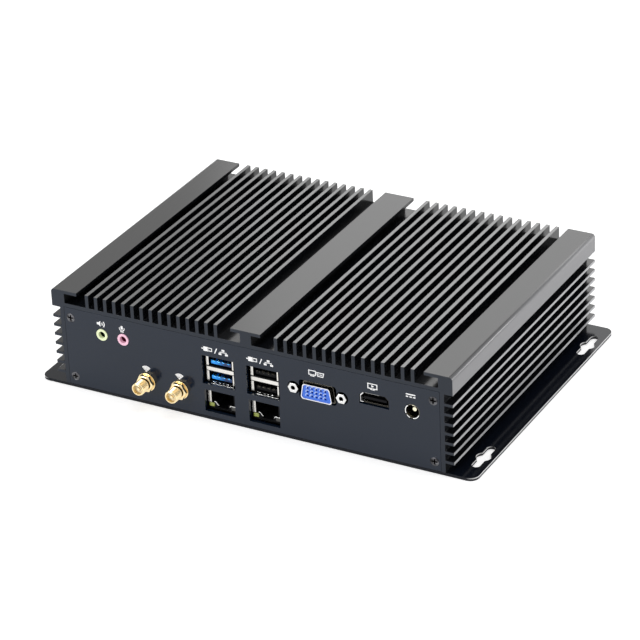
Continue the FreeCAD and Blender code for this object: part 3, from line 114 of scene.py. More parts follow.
def background_rays(tree):
    """1 for the rays that show the background: straight, mirrored, or seen through glass."""
    path = tree.nodes.new("ShaderNodeLightPath")
    share = path.outputs["Is Camera Ray"]
    for ray in ("Is Glossy Ray", "Is Transmission Ray"):
        larger = tree.nodes.new("ShaderNodeMath")
        larger.operation = "MAXIMUM"
        tree.links.new(share, larger.inputs[0])
        tree.links.new(path.outputs[ray], larger.inputs[1])
        share = larger.outputs[0]
    return share


def studio():
    """A plain world that shows as white and lights the object more weakly, and soft lamps."""
    world = bpy.data.worlds.new("studio")
    bpy.context.scene.world = world
    world.use_nodes = True
    tree = world.node_tree
    background = tree.nodes["Background"]
    background.inputs["Color"].default_value = (1, 1, 1, 1)
    strength = tree.nodes.new("ShaderNodeMapRange")
    strength.inputs["To Min"].default_value = WORLD_LIGHT
    tree.links.new(background_rays(tree), strength.inputs["Value"])
    tree.links.new(strength.outputs["Result"], background.inputs["Strength"])
    for row in LAMPS:
        lamp(*row)


def ground():
    """A plain floor that the camera sees as white, apart from the object's shadow."""
    bpy.ops.mesh.primitive_plane_add(size=FLOOR_SIZE, location=(0, 0, -FLOOR_DROP))
    floor = bpy.context.object
    floor.name = "floor"
    material = bpy.data.materials.new("floor")
    material.use_nodes = True
    tree = material.node_tree
    surface = tree.nodes["Principled BSDF"]
    surface.inputs["Base Color"].default_value = (FLOOR_GREY, FLOOR_GREY, FLOOR_GREY, 1)
    surface.inputs["Roughness"].default_value = 0.9
    surface.inputs["Emission Color"].default_value = (1, 1, 1, 1)
    level = tree.nodes.new("ShaderNodeMath")
    level.operation = "MULTIPLY"
    level.inputs[1].default_value = FLOOR_GLOW
    tree.links.new(background_rays(tree), level.inputs[0])
    tree.links.new(level.outputs[0], surface.inputs["Emission Strength"])
    floor.data.materials.append(material)


# ---------------------------------------------------------------- materials

LOOKS = {}


class Shader:
    """A node material built step by step. Its masks run from 0 to 1."""

    def __init__(self, name, color, roughness, metallic=0.0, **constants):
        LOOKS[name] = bpy.data.materials.new(f"look_{name}")
        LOOKS[name].use_nodes = True
        self.tree = LOOKS[name].node_tree
        self.surface = self.tree.nodes["Principled BSDF"]
        self.color, self.roughness = color, roughness
        self.surface.inputs["Base Color"].default_value = (*color, 1)
        self.surface.inputs["Roughness"].default_value = roughness
        self.surface.inputs["Metallic"].default_value = metallic
        for socket, value in constants.items():
            self.surface.inputs[socket.replace("_", " ")].default_value = value
        self.place = self.tree.nodes.new("ShaderNodeTexCoord").outputs["Object"]
        self.relief = None

    def feed(self, socket, value):
        """Links a node's output to a socket, or sets the socket to a plain value."""
        if isinstance(value, bpy.types.NodeSocket):
            self.tree.links.new(value, socket)
        else:
            socket.default_value = value

    def add(self, kind, **inputs):
        node = self.tree.nodes.new(f"ShaderNode{kind}")
        for socket, value in inputs.items():
            self.feed(node.inputs[socket.replace("_", " ")], value)
        return node

    def math(self, operation, first, second=0.0, third=0.0):
        node = self.add("Math")
        node.operation = operation
        for socket, value in zip(node.inputs, (first, second, third)):
            self.feed(socket, value)
        return node.outputs[0]

    def grain(self, scale, stretch=(1, 1, 1), detail=3.0):
        """Noise whose cells are stretched along the axes."""
        mapping = self.add("Mapping", Vector=self.place, Scale=stretch)
        noise = self.add("TexNoise", Vector=mapping.outputs["Vector"], Scale=scale,
                         Detail=detail)
        return noise.outputs["Fac"]

    def ramp(self, value, start, end, low=0.0, high=1.0):
        """Goes from low to high while a value goes from start to end."""
        node = self.add("MapRange", Value=value, From_Min=start, From_Max=end, To_Min=low,
                        To_Max=high)
        return node.outputs["Result"]

    # Masks

    def axis(self, name):
        """One coordinate of the surface, in millimetres."""
        place = self.add("SeparateXYZ", Vector=self.place)
        return self.math("DIVIDE", place.outputs[name], MM)

    def facing(self, name):
        """One part of the direction that the surface faces."""
        normal = self.add("NewGeometry").outputs["True Normal"]
        return self.add("SeparateXYZ", Vector=normal).outputs[name]

    def both(self, first, second):
        return self.math("MULTIPLY", first, second)

    def above(self, value, limit):
        return self.math("GREATER_THAN", value, limit)

    def within(self, value, low, high):
        return self.math("COMPARE", value, (low + high) / 2, (high - low) / 2)

    def depth(self):
        """Distance behind the outer face of the nearer end panel, in millimetres."""
        return self.math("SUBTRACT", FACE, self.math("ABSOLUTE", self.axis("Y")))

    def deeper(self, start, end):
        """Rises between two depths behind an end panel's face."""
        return self.ramp(self.depth(), start, end)

    # Looks

    def vary_roughness(self, noise, share):
        low, high = self.roughness * (1 - share), self.roughness * (1 + share)
        self.feed(self.surface.inputs["Roughness"], self.ramp(noise, 0.3, 0.7, low, high))
        return self

    def vary_color(self, noise, share):
        darker = [value * (1 - share) for value in self.color]
        return self.tint(self.ramp(noise, 0.3, 0.7), darker)

    def tint(self, mask, second):
        """Mixes a second colour over the present one."""
        mix = self.add("Mix")
        mix.data_type = "RGBA"
        self.feed(mix.inputs[0], mask)
        present, other = [socket for socket in mix.inputs if socket.type == "RGBA"]
        base = self.surface.inputs["Base Color"]
        if base.is_linked:
            self.tree.links.new(base.links[0].from_socket, present)
        else:
            present.default_value = base.default_value
        other.default_value = (*second, 1)
        self.feed(base, next(socket for socket in mix.outputs if socket.type == "RGBA"))
        return self

    def bump(self, noise, distance, strength):
        """Adds relief; the distance is in metres."""
        node = self.add("Bump", Height=noise, Distance=distance, Strength=strength)
        if self.relief:
            self.feed(node.inputs["Normal"], self.relief)
        self.relief = node.outputs["Normal"]
        self.feed(self.surface.inputs["Normal"], self.relief)
        return self


def finish(name, color, roughness, metallic=0.0, gloss=None, patches=None, relief=None,
           **constants):
    """A material with grain: gloss and patches are a noise's scale and share, and relief is
    a noise's scale, distance and strength."""
    shader = Shader(name, color, roughness, metallic, **constants)
    if gloss:
        shader.vary_roughness(shader.grain(gloss[0]), gloss[1])
    if patches:
        shader.vary_color(shader.grain(patches[0]), patches[1])
    if relief:
        shader.bump(shader.grain(relief[0]), *relief[1:])
    return shader


FIN_ZONE = (14.0, 87.5)  # the top fins' distances from the middle
OUTERMOST = 2.0  # top and side faces lie this near to the housing's limits
RAIL_HEIGHT = 10.0  # the side fins start this far below the top


def housing_finish():
    """Black anodised aluminium, with painted highlights on its tops, sides and fin tips."""
    shader = Shader("anodised", (0.0032, 0.0090, 0.0205), 0.18, IOR=1.41)
    bloom = shader.grain(9, (1, 0.5, 1))
    shader.vary_roughness(bloom, 0.12).vary_color(bloom, 0.16)
    upward = shader.math("MAXIMUM", shader.facing("Z"), 0.0)
    outward = shader.math("ABSOLUTE", shader.facing("X"))
    across = shader.math("ABSOLUTE", shader.axis("X"))
    height = shader.axis("Z")
    # Painted highlights: the top faces, the top fins (lighter towards the right), the outer side
    # faces and the side fins' tips.
    top = shader.both(upward, shader.above(height, TOP - OUTERMOST))
    side = shader.both(outward, shader.above(across, SIDE - OUTERMOST))
    fins = shader.both(top, shader.within(across, *FIN_ZONE))
    fin_tip_highlight = shader.both(side, shader.math("LESS_THAN", height, TOP - RAIL_HEIGHT))
    highlight_toward_right = shader.ramp(shader.axis("X"), -SIDE, SIDE, 0.45)
    # Painted shade by facing: faces turned up or outwards take a darker, greyer colour than the
    # front faces.
    shader.tint(shader.math("MAXIMUM", outward, upward), (0.0045, 0.005, 0.0065))
    shader.tint(top, (0.038, 0.038, 0.038))
    shader.tint(shader.both(fins, highlight_toward_right), (0.22, 0.22, 0.22))
    shader.tint(side, (0.19, 0.19, 0.198))
    shader.tint(fin_tip_highlight, (0.36, 0.36, 0.37))
    draw_lines = shader.grain(900, (1, 0.012, 1))
    shader.bump(draw_lines, 0.00002, 0.25).bump(shader.grain(4200), 0.000008, 0.25)


PLATE_EDGE_HIGHLIGHT = 0.55  # height of the painted highlight along the base plate's side edges, down from its top
BASE_SCREW_HEAD = 0.35  # thickness of the base screws' faces, below their recesses


def painted_parts():
    """The painted end panels and base plate, and their screws."""
    finish("paint", (0.0030, 0.0095, 0.0235), 0.15, gloss=(14, 0.12), patches=(11, 0.12),
           relief=(1500, 0.00001, 0.15), IOR=1.41)
    plate = finish("plate", (0.0035, 0.005, 0.009), 0.16, gloss=(14, 0.12),
                   relief=(1500, 0.00001, 0.25), IOR=1.27)
    edge = plate.math("ABSOLUTE", plate.facing("X"))
    edge_highlight_band = plate.above(plate.axis("Z"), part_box("base_plate")[1].z / MM - PLATE_EDGE_HIGHLIGHT)
    # Painted highlight: a thin light line along the top of the plate's side edges.
    plate.tint(plate.both(edge, edge_highlight_band), (0.75, 0.75, 0.75))
    for name in ("screw", "base_screw"):
        screw = finish(name, (0.17, 0.17, 0.18), 0.2, 1.0, gloss=(700, 0.2),
                       relief=(2400, 0.000012, 0.3))
        # Patches of lighter and darker tone on the heads, painted to stand for glints.
        screw.vary_color(screw.grain(420, detail=1.0), 0.85)
        if name == "screw":
            painted_recess_shade = screw.deeper(0.25, 0.5)
        else:
            painted_recess_shade = screw.above(screw.axis("Z"), BASE_SCREW_HEAD)
        # Painted shade: the screws' recesses turn near black.
        screw.tint(painted_recess_shade, (0.002, 0.002, 0.002))


# Heights at which the stacked ports' shields lie in shadow, and the strip at their right edges
SHADED_HEIGHTS = ((14.9, 19.7), (0.0, 8.1), (24.8, 25.2), (27.1, 27.8))
SHADED_EDGE = (-0.75, 0.1)
DISPLAY_TOP = 32.0  # the upper side of the display port starts here


def shields():
    """The plated shields of the ports, with painted shadow where they lie in shadow and painted
    shade deeper inside.
    """
    tin = finish("tin", (0.74, 0.72, 0.68), 0.24, 1.0, gloss=(500, 0.3), patches=(160, 0.12))
    height, along = tin.axis("Z"), tin.axis("X")
    shadows = [tin.within(height, *heights) for heights in SHADED_HEIGHTS]
    for stack in STACKS:
        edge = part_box(stack)[1].x / MM
        shadows.append(tin.within(along, *(edge + strip for strip in SHADED_EDGE)))
    for shadow in shadows:
        tin.tint(shadow, (0.012, 0.012, 0.012))
    # Painted shade: the shields darken deeper inside the ports.
    tin.tint(tin.deeper(2.9, 5.0), (0.10, 0.10, 0.10))

    dee = finish("dee_shell", (0.84, 0.84, 0.86), 0.18, 1.0, gloss=(500, 0.3),
                 patches=(160, 0.12))
    # Painted reflection: the shell's sides darken from just in front of the panel inwards,
    # standing for the dark panel mirrored in them.
    dee.tint(dee.deeper(-1.1, -0.6), (0.05, 0.05, 0.045))
    # Painted shade: the shell's flange behind the panel turns near black.
    dee.tint(dee.deeper(0.2, 0.6), (0.004, 0.004, 0.004))

    # The near-black colour is painted shade inside the display port; the bright strip at its left
    # end and the grey strip along its upper side are painted highlights.
    display = finish("display_steel", (0.035, 0.033, 0.03), 0.2, 1.0, gloss=(500, 0.3))
    left, right = (corner.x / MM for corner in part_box("display_shield"))
    along = display.axis("X")
    display.tint(display.within(along, left - 0.1, left + 1.6), (0.86, 0.86, 0.86))
    display.tint(display.both(display.within(along, left + 2.5, right - 5.0),
                              display.above(display.axis("Z"), DISPLAY_TOP)),
                 (0.40, 0.40, 0.39))


THREAD_DEPTHS = (-8.2, -3.2)  # the antenna threads stand out of the panel


def bright_metals():
    """Nickel, steel, gold and the sprung contacts."""
    nickel = finish("nickel", (0.86, 0.86, 0.85), 0.2, 1.0, gloss=(500, 0.3),
                    patches=(160, 0.12))
    nickel.bump(nickel.grain(900, (1, 1, 0.05)), 0.00001, 0.3)
    finish("steel", (0.50, 0.50, 0.49), 0.30, 1.0, gloss=(700, 0.3), relief=(1600, 0.00001, 0.3))
    post = finish("jack_screw", (0.72, 0.72, 0.71), 0.2, 1.0, gloss=(700, 0.3))
    # Painted shade: the jack screws turn near black from just in front of the panel inwards.
    post.tint(post.deeper(-0.5, -0.1), (0.02, 0.02, 0.02))

    gold = finish("gold", (1.0, 0.82, 0.49), 0.11, 1.0, gloss=(500, 0.3), patches=(220, 0.12))
    # Painted shade: the upward faces of the threads outside the panel turn brown.
    thread_top_shade = gold.both(gold.within(gold.depth(), *THREAD_DEPTHS),
                        gold.math("MAXIMUM", gold.facing("Z"), 0.0))
    gold.tint(gold.both(thread_top_shade, 0.7), (0.46, 0.30, 0.11))

    # Painted light: the pale blue contacts stand for blue glints on the left bus contacts, and the
    # dark contacts are darkened as painted shade deep in the ports; the pale contacts keep their
    # own colour.
    for name, color, roughness in (("blue_glint_contact", (0.28, 0.70, 1.0), 0.2),
                                   ("shaded_contact", (0.14, 0.13, 0.11), 0.3),
                                   ("pale_contact", (0.93, 0.88, 0.66), 0.2)):
        finish(name, color, roughness, 1.0, gloss=(600, 0.3), patches=(300, 0.1))


def plastics():
    """Moulded plastics, the boards' lacquer, the lamps' lenses and the signs' ink."""
    for name, color, roughness in (
            ("black_plastic", (0.006, 0.006, 0.007), 0.3),
            ("video_blue", (0.045, 0.17, 0.76), 0.3),
            ("rim_glint_blue", (0.56, 0.70, 1.0), 0.25),
            ("cream_plastic", (0.82, 0.72, 0.50), 0.4),
            ("board", (0.02, 0.13, 0.06), 0.35),
            ("chip", (0.025, 0.025, 0.027), 0.5),
            ("pad", (0.42, 0.44, 0.48), 0.7),
            ("cable", (0.02, 0.02, 0.02), 0.45)):
        finish(name, color, roughness, gloss=(300, 0.15), patches=(200, 0.1),
               relief=(3000, 0.000012, 0.3))
    finish("core_plastic", (0.003, 0.003, 0.004), 0.5, gloss=(300, 0.2),
           relief=(3000, 0.000012, 0.3), IOR=1.2)

    for name, color, bore_shade in (("lime", (0.92, 1.0, 0.64), (0.002, 0.010, 0.001)),
                              ("pink", (1.0, 0.60, 0.75), (0.10, 0.001, 0.024))):
        jack = finish(name, color, 0.3, gloss=(300, 0.15), patches=(200, 0.08))
        # Painted shade: the jacks' bores turn dark deeper than about 1.2 mm.
        jack.tint(jack.deeper(1.2, 1.5), bore_shade)

    bus = finish("bus_blue", (0.010, 0.34, 1.0), 0.2, gloss=(300, 0.2))
    middle = middle_of("left_ports_tongues")[0]
    # Painted shade: the left tongues darken from their left towards their right.
    bus.tint(bus.ramp(bus.axis("X"), middle - 3.0, middle + 2.0), (0.002, 0.030, 0.13))

    for name, color in (("lamp_lens", (0.33, 0.38, 0.05)), ("dark_lens", (0.012, 0.012, 0.008))):
        finish(name, color, 0.25, patches=(400, 0.2), Coat_Weight=0.5)
    finish("ink", (0.97, 0.97, 0.97), 0.5, gloss=(900, 0.1), relief=(2500, 0.000005, 0.4))


FINISHES = {
    "anodised": ["heatsink_housing"],
    "paint": ["front_panel", "rear_panel"],
    "plate": ["base_plate"],
    "screw": ["front_panel_screws", "rear_panel_screws"],
    "base_screw": ["base_plate_screws"],
    "tin": ["left_ports_shield", "right_ports_shield"],
    "dee_shell": ["video_shield", "serial_shields"],
    "display_steel": ["display_shield"],
    "jack_screw": ["video_jackscrews", "serial_jackscrews"],
    "nickel": ["rear_ports_shield", "board_posts", "board_screws", "processor",
               "heat_spreader_screws", "card_posts", "coin_cell"],
    # The inlet's sleeve is darkened as painted shade, so that only the arcs of its lip show
    # bright.
    "shaded_contact": ["inlet_sleeve"],
    "pale_contact": ["inlet_pin"],
    "steel": ["button_bezel", "power_button", "heat_spreader"],
    "gold": ["antenna_jack_left", "antenna_jack_right", "antenna_washers", "antenna_nuts",
             "antenna_contacts", "port_contacts", "serial_pins"],
    "core_plastic": ["left_ports_core", "right_ports_core", "right_ports_tongues",
                     "display_core", "inlet_body"],
    "black_plastic": ["rear_ports_core", "serial_cores", "power_switch", "memory_socket",
                      "card_sockets", "coin_cell_holder"],
    "video_blue": ["video_core"],
    "bus_blue": ["left_ports_tongues"],
    "lime": ["speaker_jack"],
    "pink": ["microphone_jack"],
    "cream_plastic": ["antenna_insulators"],
    "board": ["mainboard", "memory_module", "storage_card", "wireless_card"],
    "chip": ["memory_chips", "card_chips"],
    "pad": ["thermal_pad"],
    "cable": ["antenna_leads"],
    "lamp_lens": ["network_lamps", "pilot_lamps"],
}

SOFT_EDGES = {  # width of the bevel
    "heatsink_housing": 0.18, "base_plate": 0.15, "front_panel": 0.1, "rear_panel": 0.1,
    "left_ports_shield": 0.15, "right_ports_shield": 0.15, "rear_ports_shield": 0.15,
    "speaker_jack": 0.25, "microphone_jack": 0.25, "video_jackscrews": 0.25,
    "serial_jackscrews": 0.25, "front_panel_screws": 0.2, "rear_panel_screws": 0.2,
    "antenna_washers": 0.12, "inlet_sleeve": 0.12, "left_ports_tongues": 0.12,
    "right_ports_tongues": 0.12, "button_bezel": 0.2, "power_button": 0.3, "pilot_lamps": 0.3,
}


def dress_nodes():
    for look, nodes in FINISHES.items():
        for node in nodes:
            slots = NODES[node].data.materials
            slots.clear()
            slots.append(LOOKS[look])


def add_bevel(piece, width):
    round_off = piece.modifiers.new("round", "BEVEL")
    round_off.width = width * MM
    round_off.segments = 2
    round_off.limit_method = "ANGLE"
    round_off.angle_limit = math.radians(35)
    round_off.harden_normals = True


def soften(node, width):
    """Breaks the keen edges of a CAD node, once its flat faces are whole again."""
    piece = NODES[node]
    weld = piece.modifiers.new("weld", "WELD")
    weld.merge_threshold = 1e-6
    flat = piece.modifiers.new("flat", "DECIMATE")
    flat.decimate_type = "DISSOLVE"
    flat.angle_limit = math.radians(0.5)
    add_bevel(piece, width)


# ---------------------------------------------------------------- added pieces

TURN_STEPS = 72


class Form:
    """A mesh gathered from simple parts on the port panel. Depths count inwards from the
    panel's outer face, and heights outwards."""

    def __init__(self):
        self.points, self.faces = [], []

    def add(self, points, faces):
        start = len(self.points)
        self.points += points
        self.faces += [[start + index for index in face] for face in faces]

    def turned(self, x, z, rings):
        """A closed profile of heights and radii, turned on an axis out of the panel."""
        points, faces = [], []
        for height, radius in rings:
            for step in range(TURN_STEPS):
                angle = 2 * math.pi * step / TURN_STEPS
                reach = radius(angle, height) if callable(radius) else radius
                points.append((x + reach * math.cos(angle), -FACE - height,
                               z + reach * math.sin(angle)))
        for ring in range(len(rings)):
            low, high = ring * TURN_STEPS, (ring + 1) % len(rings) * TURN_STEPS
            for step in range(TURN_STEPS):
                after = (step + 1) % TURN_STEPS
                faces.append((low + step, low + after, high + after, high + step))
        self.add(points, faces)

    def prism(self, outline, low, high, across=False):
        """A straight part: an outline in x and z between two depths, or an outline in depth
        and z between two places across the panel."""
        if across:
            ends = [[(end, depth - FACE, z) for depth, z in outline] for end in (low, high)]
        else:
            ends = [[(x, end - FACE, z) for x, z in outline] for end in (low, high)]
        count = len(outline)
        faces = [(i, (i + 1) % count, count + (i + 1) % count, count + i) for i in range(count)]
        faces += [list(range(count)), list(range(count, 2 * count))]
        self.add(ends[0] + ends[1], faces)

    def stroke(self, path, width, low, high, closed=False):
        """A line of even width in x and z between two depths, mitred at its corners."""
        count = len(path)
        sides = []  # from each point of the path to the line's edge
        for i, (x, z) in enumerate(path):
            before = path[i - 1] if closed or i else None
            after = path[(i + 1) % count] if closed or i < count - 1 else None
            ways = []
            for a, b in ((before, (x, z)), ((x, z), after)):
                if a and b:
                    length = math.dist(a, b)
                    ways.append(((a[1] - b[1]) / length, (b[0] - a[0]) / length))
            side = [sum(way[k] for way in ways) / len(ways) for k in (0, 1)]
            reach = width / 2 / (side[0] ** 2 + side[1] ** 2)
            sides.append((side[0] * reach, side[1] * reach))
        points = []
        for depth in (low, high):
            for sign in (1, -1):
                points += [(x + sign * dx, depth - FACE, z + sign * dz)
                           for (x, z), (dx, dz) in zip(path, sides)]
        faces = []
        for i in range(count if closed else count - 1):
            j = (i + 1) % count
            for a, b in ((0, 1), (1, 3), (3, 2), (2, 0)):
                faces.append((a * count + i, a * count + j, b * count + j, b * count + i))
        if not closed:
            faces += [[row * count + end for row in (0, 1, 3, 2)] for end in (0, count - 1)]
        self.add(points, faces)

    def finish(self, name, look, slot, replaced=(), bevel=0.0):
        """Makes the piece and sets it in the frame."""
        mesh = bpy.data.meshes.new(name)
        points = [[value * MM for value in point] for point in self.points]
        mesh.from_pydata(points, [], self.faces)
        work = bmesh.new()
        work.from_mesh(mesh)
        bmesh.ops.remove_doubles(work, verts=work.verts, dist=1e-7)
        bmesh.ops.recalc_face_normals(work, faces=work.faces)
        work.to_mesh(mesh)
        work.free()
        mesh.shade_smooth()
        mesh.set_sharp_from_angle(angle=math.radians(32))
        mesh.materials.append(LOOKS[look])
        piece = bpy.data.objects.new(name, mesh)
        bpy.context.scene.collection.objects.link(piece)
        if bevel:
            add_bevel(piece, bevel)
        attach(piece, "computer")
        if replaced:
            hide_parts(*replaced)


def arc(x, z, radius, start, end, steps=10):
    """Points on an arc, between two angles in degrees."""
    turns = [math.radians(start + (end - start) * i / steps) for i in range(steps + 1)]
    return [(x + radius * math.cos(turn), z + radius * math.sin(turn)) for turn in turns]


def rectangle(x, z, width, height):
    """The corners of a rectangle about its middle."""
    left, right, low, high = x - width / 2, x + width / 2, z - height / 2, z + height / 2
    return [(left, low), (right, low), (right, high), (left, high)]


def moved(path, x, z):
    return [(x + a, z + b) for a, b in path]


# Unified thread of the antenna jacks; the tooth's sizes are shares of the pitch
THREAD_PITCH = 25.4 / 36
THREAD_CREST, THREAD_ROOT = 3.175, 2.76
THREAD_START, THREAD_END = 3.2, 8.75
THREAD_STEPS = 9
TOOTH, FLANK = 0.4, 0.32
RUN_IN, RUN_OUT = 0.3, 0.25
FLATS = 8.0  # across the hexagons of the jacks and nuts
NUT_LOW, NUT_HIGH = 0.6, 2.8
NUT_BORE, NUT_MOUTH = 3.0, 3.3
CHAMFER_RADIUS, CHAMFER_STEP = 3.72, 0.08


def thread_radius(angle, height):
    """Thread that fades out at both ends."""
    turn = (height / THREAD_PITCH - angle / (2 * math.pi)) % 1
    tooth = min(1.0, max(0.0, (TOOTH - abs(turn - 0.5)) / FLANK))
    fade = min(1.0, (height - THREAD_START) / RUN_IN, (THREAD_END - height) / RUN_OUT)
    return THREAD_ROOT + (THREAD_CREST - THREAD_ROOT) * tooth * max(0.0, fade)


def hexagon_radius(angle, height):
    """Distance from the middle to the edge of a hexagon, the same at every height."""
    return FLATS / 2 / math.cos(angle % (math.pi / 3) - math.pi / 6)


def nut_radius(angle, height):
    """Hexagon whose corners are chamfered at both faces."""
    inside = min(height - NUT_LOW, NUT_HIGH - height)
    return min(hexagon_radius(angle, height), CHAMFER_RADIUS + math.tan(math.radians(60)) * inside)


def antenna_jacks():
    """Threaded jacks, each with a rolled lip, a hexagon behind the panel and a cable end."""
    steps = round((THREAD_END - THREAD_START) / THREAD_PITCH * THREAD_STEPS)
    lip = [(7.1, 2.3), (8.72, 2.3), (8.9, 2.38), (9.0, 2.5), (9.0, 2.6), (8.94, 2.72)]
    thread = [(THREAD_START + (THREAD_END - THREAD_START) * i / steps, thread_radius)
              for i in range(steps, -1, -1)]
    neck = [(3.2, 2.7), (3.1, 2.6), (-2.0, 2.6)]
    hexagon = [(-2.0, hexagon_radius), (-4.0, hexagon_radius)]
    cable_end = [(-4.0, 2.0), (-9.0, 2.0), (-9.0, 1.6), (-3.0, 1.6), (-3.0, 2.3)]
    for side in ("left", "right"):
        node = f"antenna_jack_{side}"
        form = Form()
        form.turned(*middle_of(node), lip + thread + neck + hexagon + cable_end)
        form.finish(f"threaded_jack_{side}", "gold", "gold", [node])


def antenna_nuts():
    form = Form()
    heights = [NUT_LOW + CHAMFER_STEP * i for i in range(8)]
    heights += [NUT_HIGH - CHAMFER_STEP * i for i in range(7, -1, -1)]
    rings = [(NUT_LOW, NUT_BORE)] + [(height, nut_radius) for height in heights]
    rings += [(NUT_HIGH, NUT_MOUTH), (NUT_HIGH - 0.25, NUT_BORE)]
    for node in ("antenna_jack_left", "antenna_jack_right"):
        form.turned(*middle_of(node), rings)
    form.finish("chamfered_nuts", "gold", "gold", ["antenna_nuts"])


class Sign(Form):
    """The white picture signs, each drawn about the present place."""

    at = (0, 0)

    def line(self, path, width=0.5, closed=False):
        self.stroke(moved(path, *self.at), width, -0.03, 0.01, closed)

    def field(self, outline):
        self.prism(moved(outline, *self.at), -0.03, 0.01)

    def speaker(self):
        self.field([(-2.3, -0.6), (-1.4, -0.6), (-0.3, -1.45), (-0.3, 1.45), (-1.4, 0.6),
                    (-2.3, 0.6)])
        for radius in (1.0, 2.1):
            self.line(arc(-0.3, 0, radius, -42, 42))

    def microphone(self):
        self.field(arc(0, 0.85, 0.62, 0, 180, 12) + arc(0, 0.1, 0.62, 180, 360, 12))
        self.line([(-1.3, 0.5)] + arc(0, 0.1, 1.3, 180, 360, 16) + [(1.3, 0.5)], 0.4)
        self.line([(0, -1.3), (0, -1.7)])
        self.line([(-1.0, -1.75), (1.0, -1.75)], 0.4)

    def plug(self):
        self.field(rectangle(-1.1, 0, 2.6, 2.3))
        self.line(rectangle(1.1, 0, 1.9, 1.5), 0.42, True)
        self.line([(-3.4, 0), (-2.3, 0)], 0.6)

    def slash(self):
        self.line([(-0.6, -1.4), (0.6, 1.4)])

    def network(self):
        for x, z in ((0, 1.0), (-1.7, -1.0), (1.7, -1.0)):
            self.field(rectangle(x, z, 1.5, 1.0))
        self.line([(-1.7, -0.7), (-1.7, 0.0), (1.7, 0.0), (1.7, -0.7)], 0.36)
        self.line([(0, 0.7), (0, 0.1)], 0.4)

    def screen(self, width=3.5, height=2.1):
        self.line(rectangle(0, 0.3, width, height), 0.46, True)
        self.line([(0, 0.3 - height / 2), (0, -1.3)], 0.7)
        self.line([(-1.1, -1.4), (1.1, -1.4)], 0.42)

    def wide_screen(self):
        self.screen(4.6, 2.4)
        self.field([(-0.5, -0.35), (0.8, 0.3), (-0.5, 0.95)])

    def pin_connector(self):
        self.line([(-1.3, -0.95), (1.3, -0.95), (1.8, 0.95), (-1.8, 0.95)], 0.42, True)
        for x in (-0.75, 0.0, 0.75):
            self.field(rectangle(x, 0, 0.42, 0.6))

    def direct_current(self):
        self.line([(-2.4, 0.6), (2.4, 0.6)], 0.62)
        for x in (-1.8, 0, 1.8):
            self.line([(x - 0.6, -0.6), (x + 0.6, -0.6)], 0.62)

    def radio_waves(self):
        self.field(arc(0, -1.5, 1.0, 45, 135) + [(0, -1.5)])
        for radius in (1.55, 2.25, 2.95):
            self.line(arc(0, -1.5, radius, 45, 135, 16), 0.56)


SIGN_DROP = 5.18  # from the panel's top edge down to the signs' middles
PORT_SIGNS = (  # sign, the port below it, and the sign's shift from that port's middle
    (Sign.speaker, "speaker_jack", -0.2, 0.45),
    (Sign.microphone, "microphone_jack", -0.35, 0.45),
    (Sign.plug, "left_ports_shield", -4.8, 0),
    (Sign.slash, "left_ports_shield", -0.6, 0),
    (Sign.network, "left_ports_shield", 3.4, 0),
    (Sign.plug, "right_ports_shield", -4.7, 0),
    (Sign.slash, "right_ports_shield", -0.5, 0),
    (Sign.network, "right_ports_shield", 3.5, 0),
    (Sign.screen, "video_shield", -2.4, 0),
    (Sign.pin_connector, "video_shield", 1.8, 0),
    (Sign.wide_screen, "display_shield", -0.55, 0),
    (Sign.direct_current, "inlet_body", -0.5, 0),
)


def port_signs():
    """Small white picture signs above the ports."""
    signs = Sign()
    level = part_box("front_panel")[1].z / MM - SIGN_DROP
    for draw, node, shift, rise in PORT_SIGNS:
        signs.at = (middle_of(node)[0] + shift, level + rise)
        draw(signs)
    for node in ("antenna_jack_left", "antenna_jack_right"):
        x, z = middle_of(node)
        signs.at = (x + 0.1, z + 6.8)
        signs.radio_waves()
    signs.finish("port_signs", "ink", "painted_black")


LENS_OFFSET = 5.9  # from the middle of the stack
TONGUE_PITCH = 8.1
CONTACT_ROW = (-3.9, -1.3, 1.3, 3.9)
CONTACT_HALF = 0.75  # half the width of a bus contact
WIRE_COUNT, WIRE_PITCH = 8, 1.02


def network_lamps():
    """The lit left lamps and the dark right ones, each a small rounded lens."""
    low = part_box("network_lamps")[0].z / MM
    for name, sign, look in (("link_lamps", -1, "lamp_lens"), ("activity_lamps", 1, "dark_lens")):
        form = Form()
        for stack in STACKS:
            x = middle_of(stack)[0] + sign * LENS_OFFSET
            form.prism(rectangle(x, low + 1.0, 2.8, 2.0), 2.3, 8.3)
        form.finish(name, look, "lamp_plastic", ["network_lamps"] if sign < 0 else (), 0.25)


def bus_contacts():
    """Sprung contacts on the tongues, which stand for the CAD's plain ones."""
    # The left contacts are the lit copy, with painted blue glints, and the right ones the shaded
    # copy, with painted shade.
    for stack, look, name, replaced in (
            (STACKS[0], "blue_glint_contact", "left_bus_contacts", ["port_contacts"]),
            (STACKS[1], "shaded_contact", "right_bus_contacts", ())):
        form = Form()
        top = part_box("left_ports_tongues")[1].z / MM
        for tongue in (top - TONGUE_PITCH, top):
            crest = arc(4.6, tongue - 2.2, 2.75, 130, 60, 8)
            under = [(depth, z - 0.2) for depth, z in crest[::-1]]
            for x in CONTACT_ROW:
                middle = middle_of(stack)[0] + x
                form.prism(crest + under + [(10.8, tongue)], middle - CONTACT_HALF,
                           middle + CONTACT_HALF, True)
        form.finish(name, look, "gold", replaced, 0.05)


def network_wires():
    """The slanted wires in the network ports."""
    form = Form()
    wire = [(3.4, 10.0), (5.0, 10.0), (13.0, 6.7), (13.2, 7.0), (5.2, 10.1)]
    for stack in STACKS:
        middle, foot = foot_of(stack)
        for i in range(WIRE_COUNT):
            x = middle + (i - (WIRE_COUNT - 1) / 2) * WIRE_PITCH
            form.prism(moved(wire, 0, foot), x - 0.2, x + 0.2, True)
    # The wires are dark with painted shade inside the network ports.
    form.finish("network_wires", "shaded_contact", "gold")


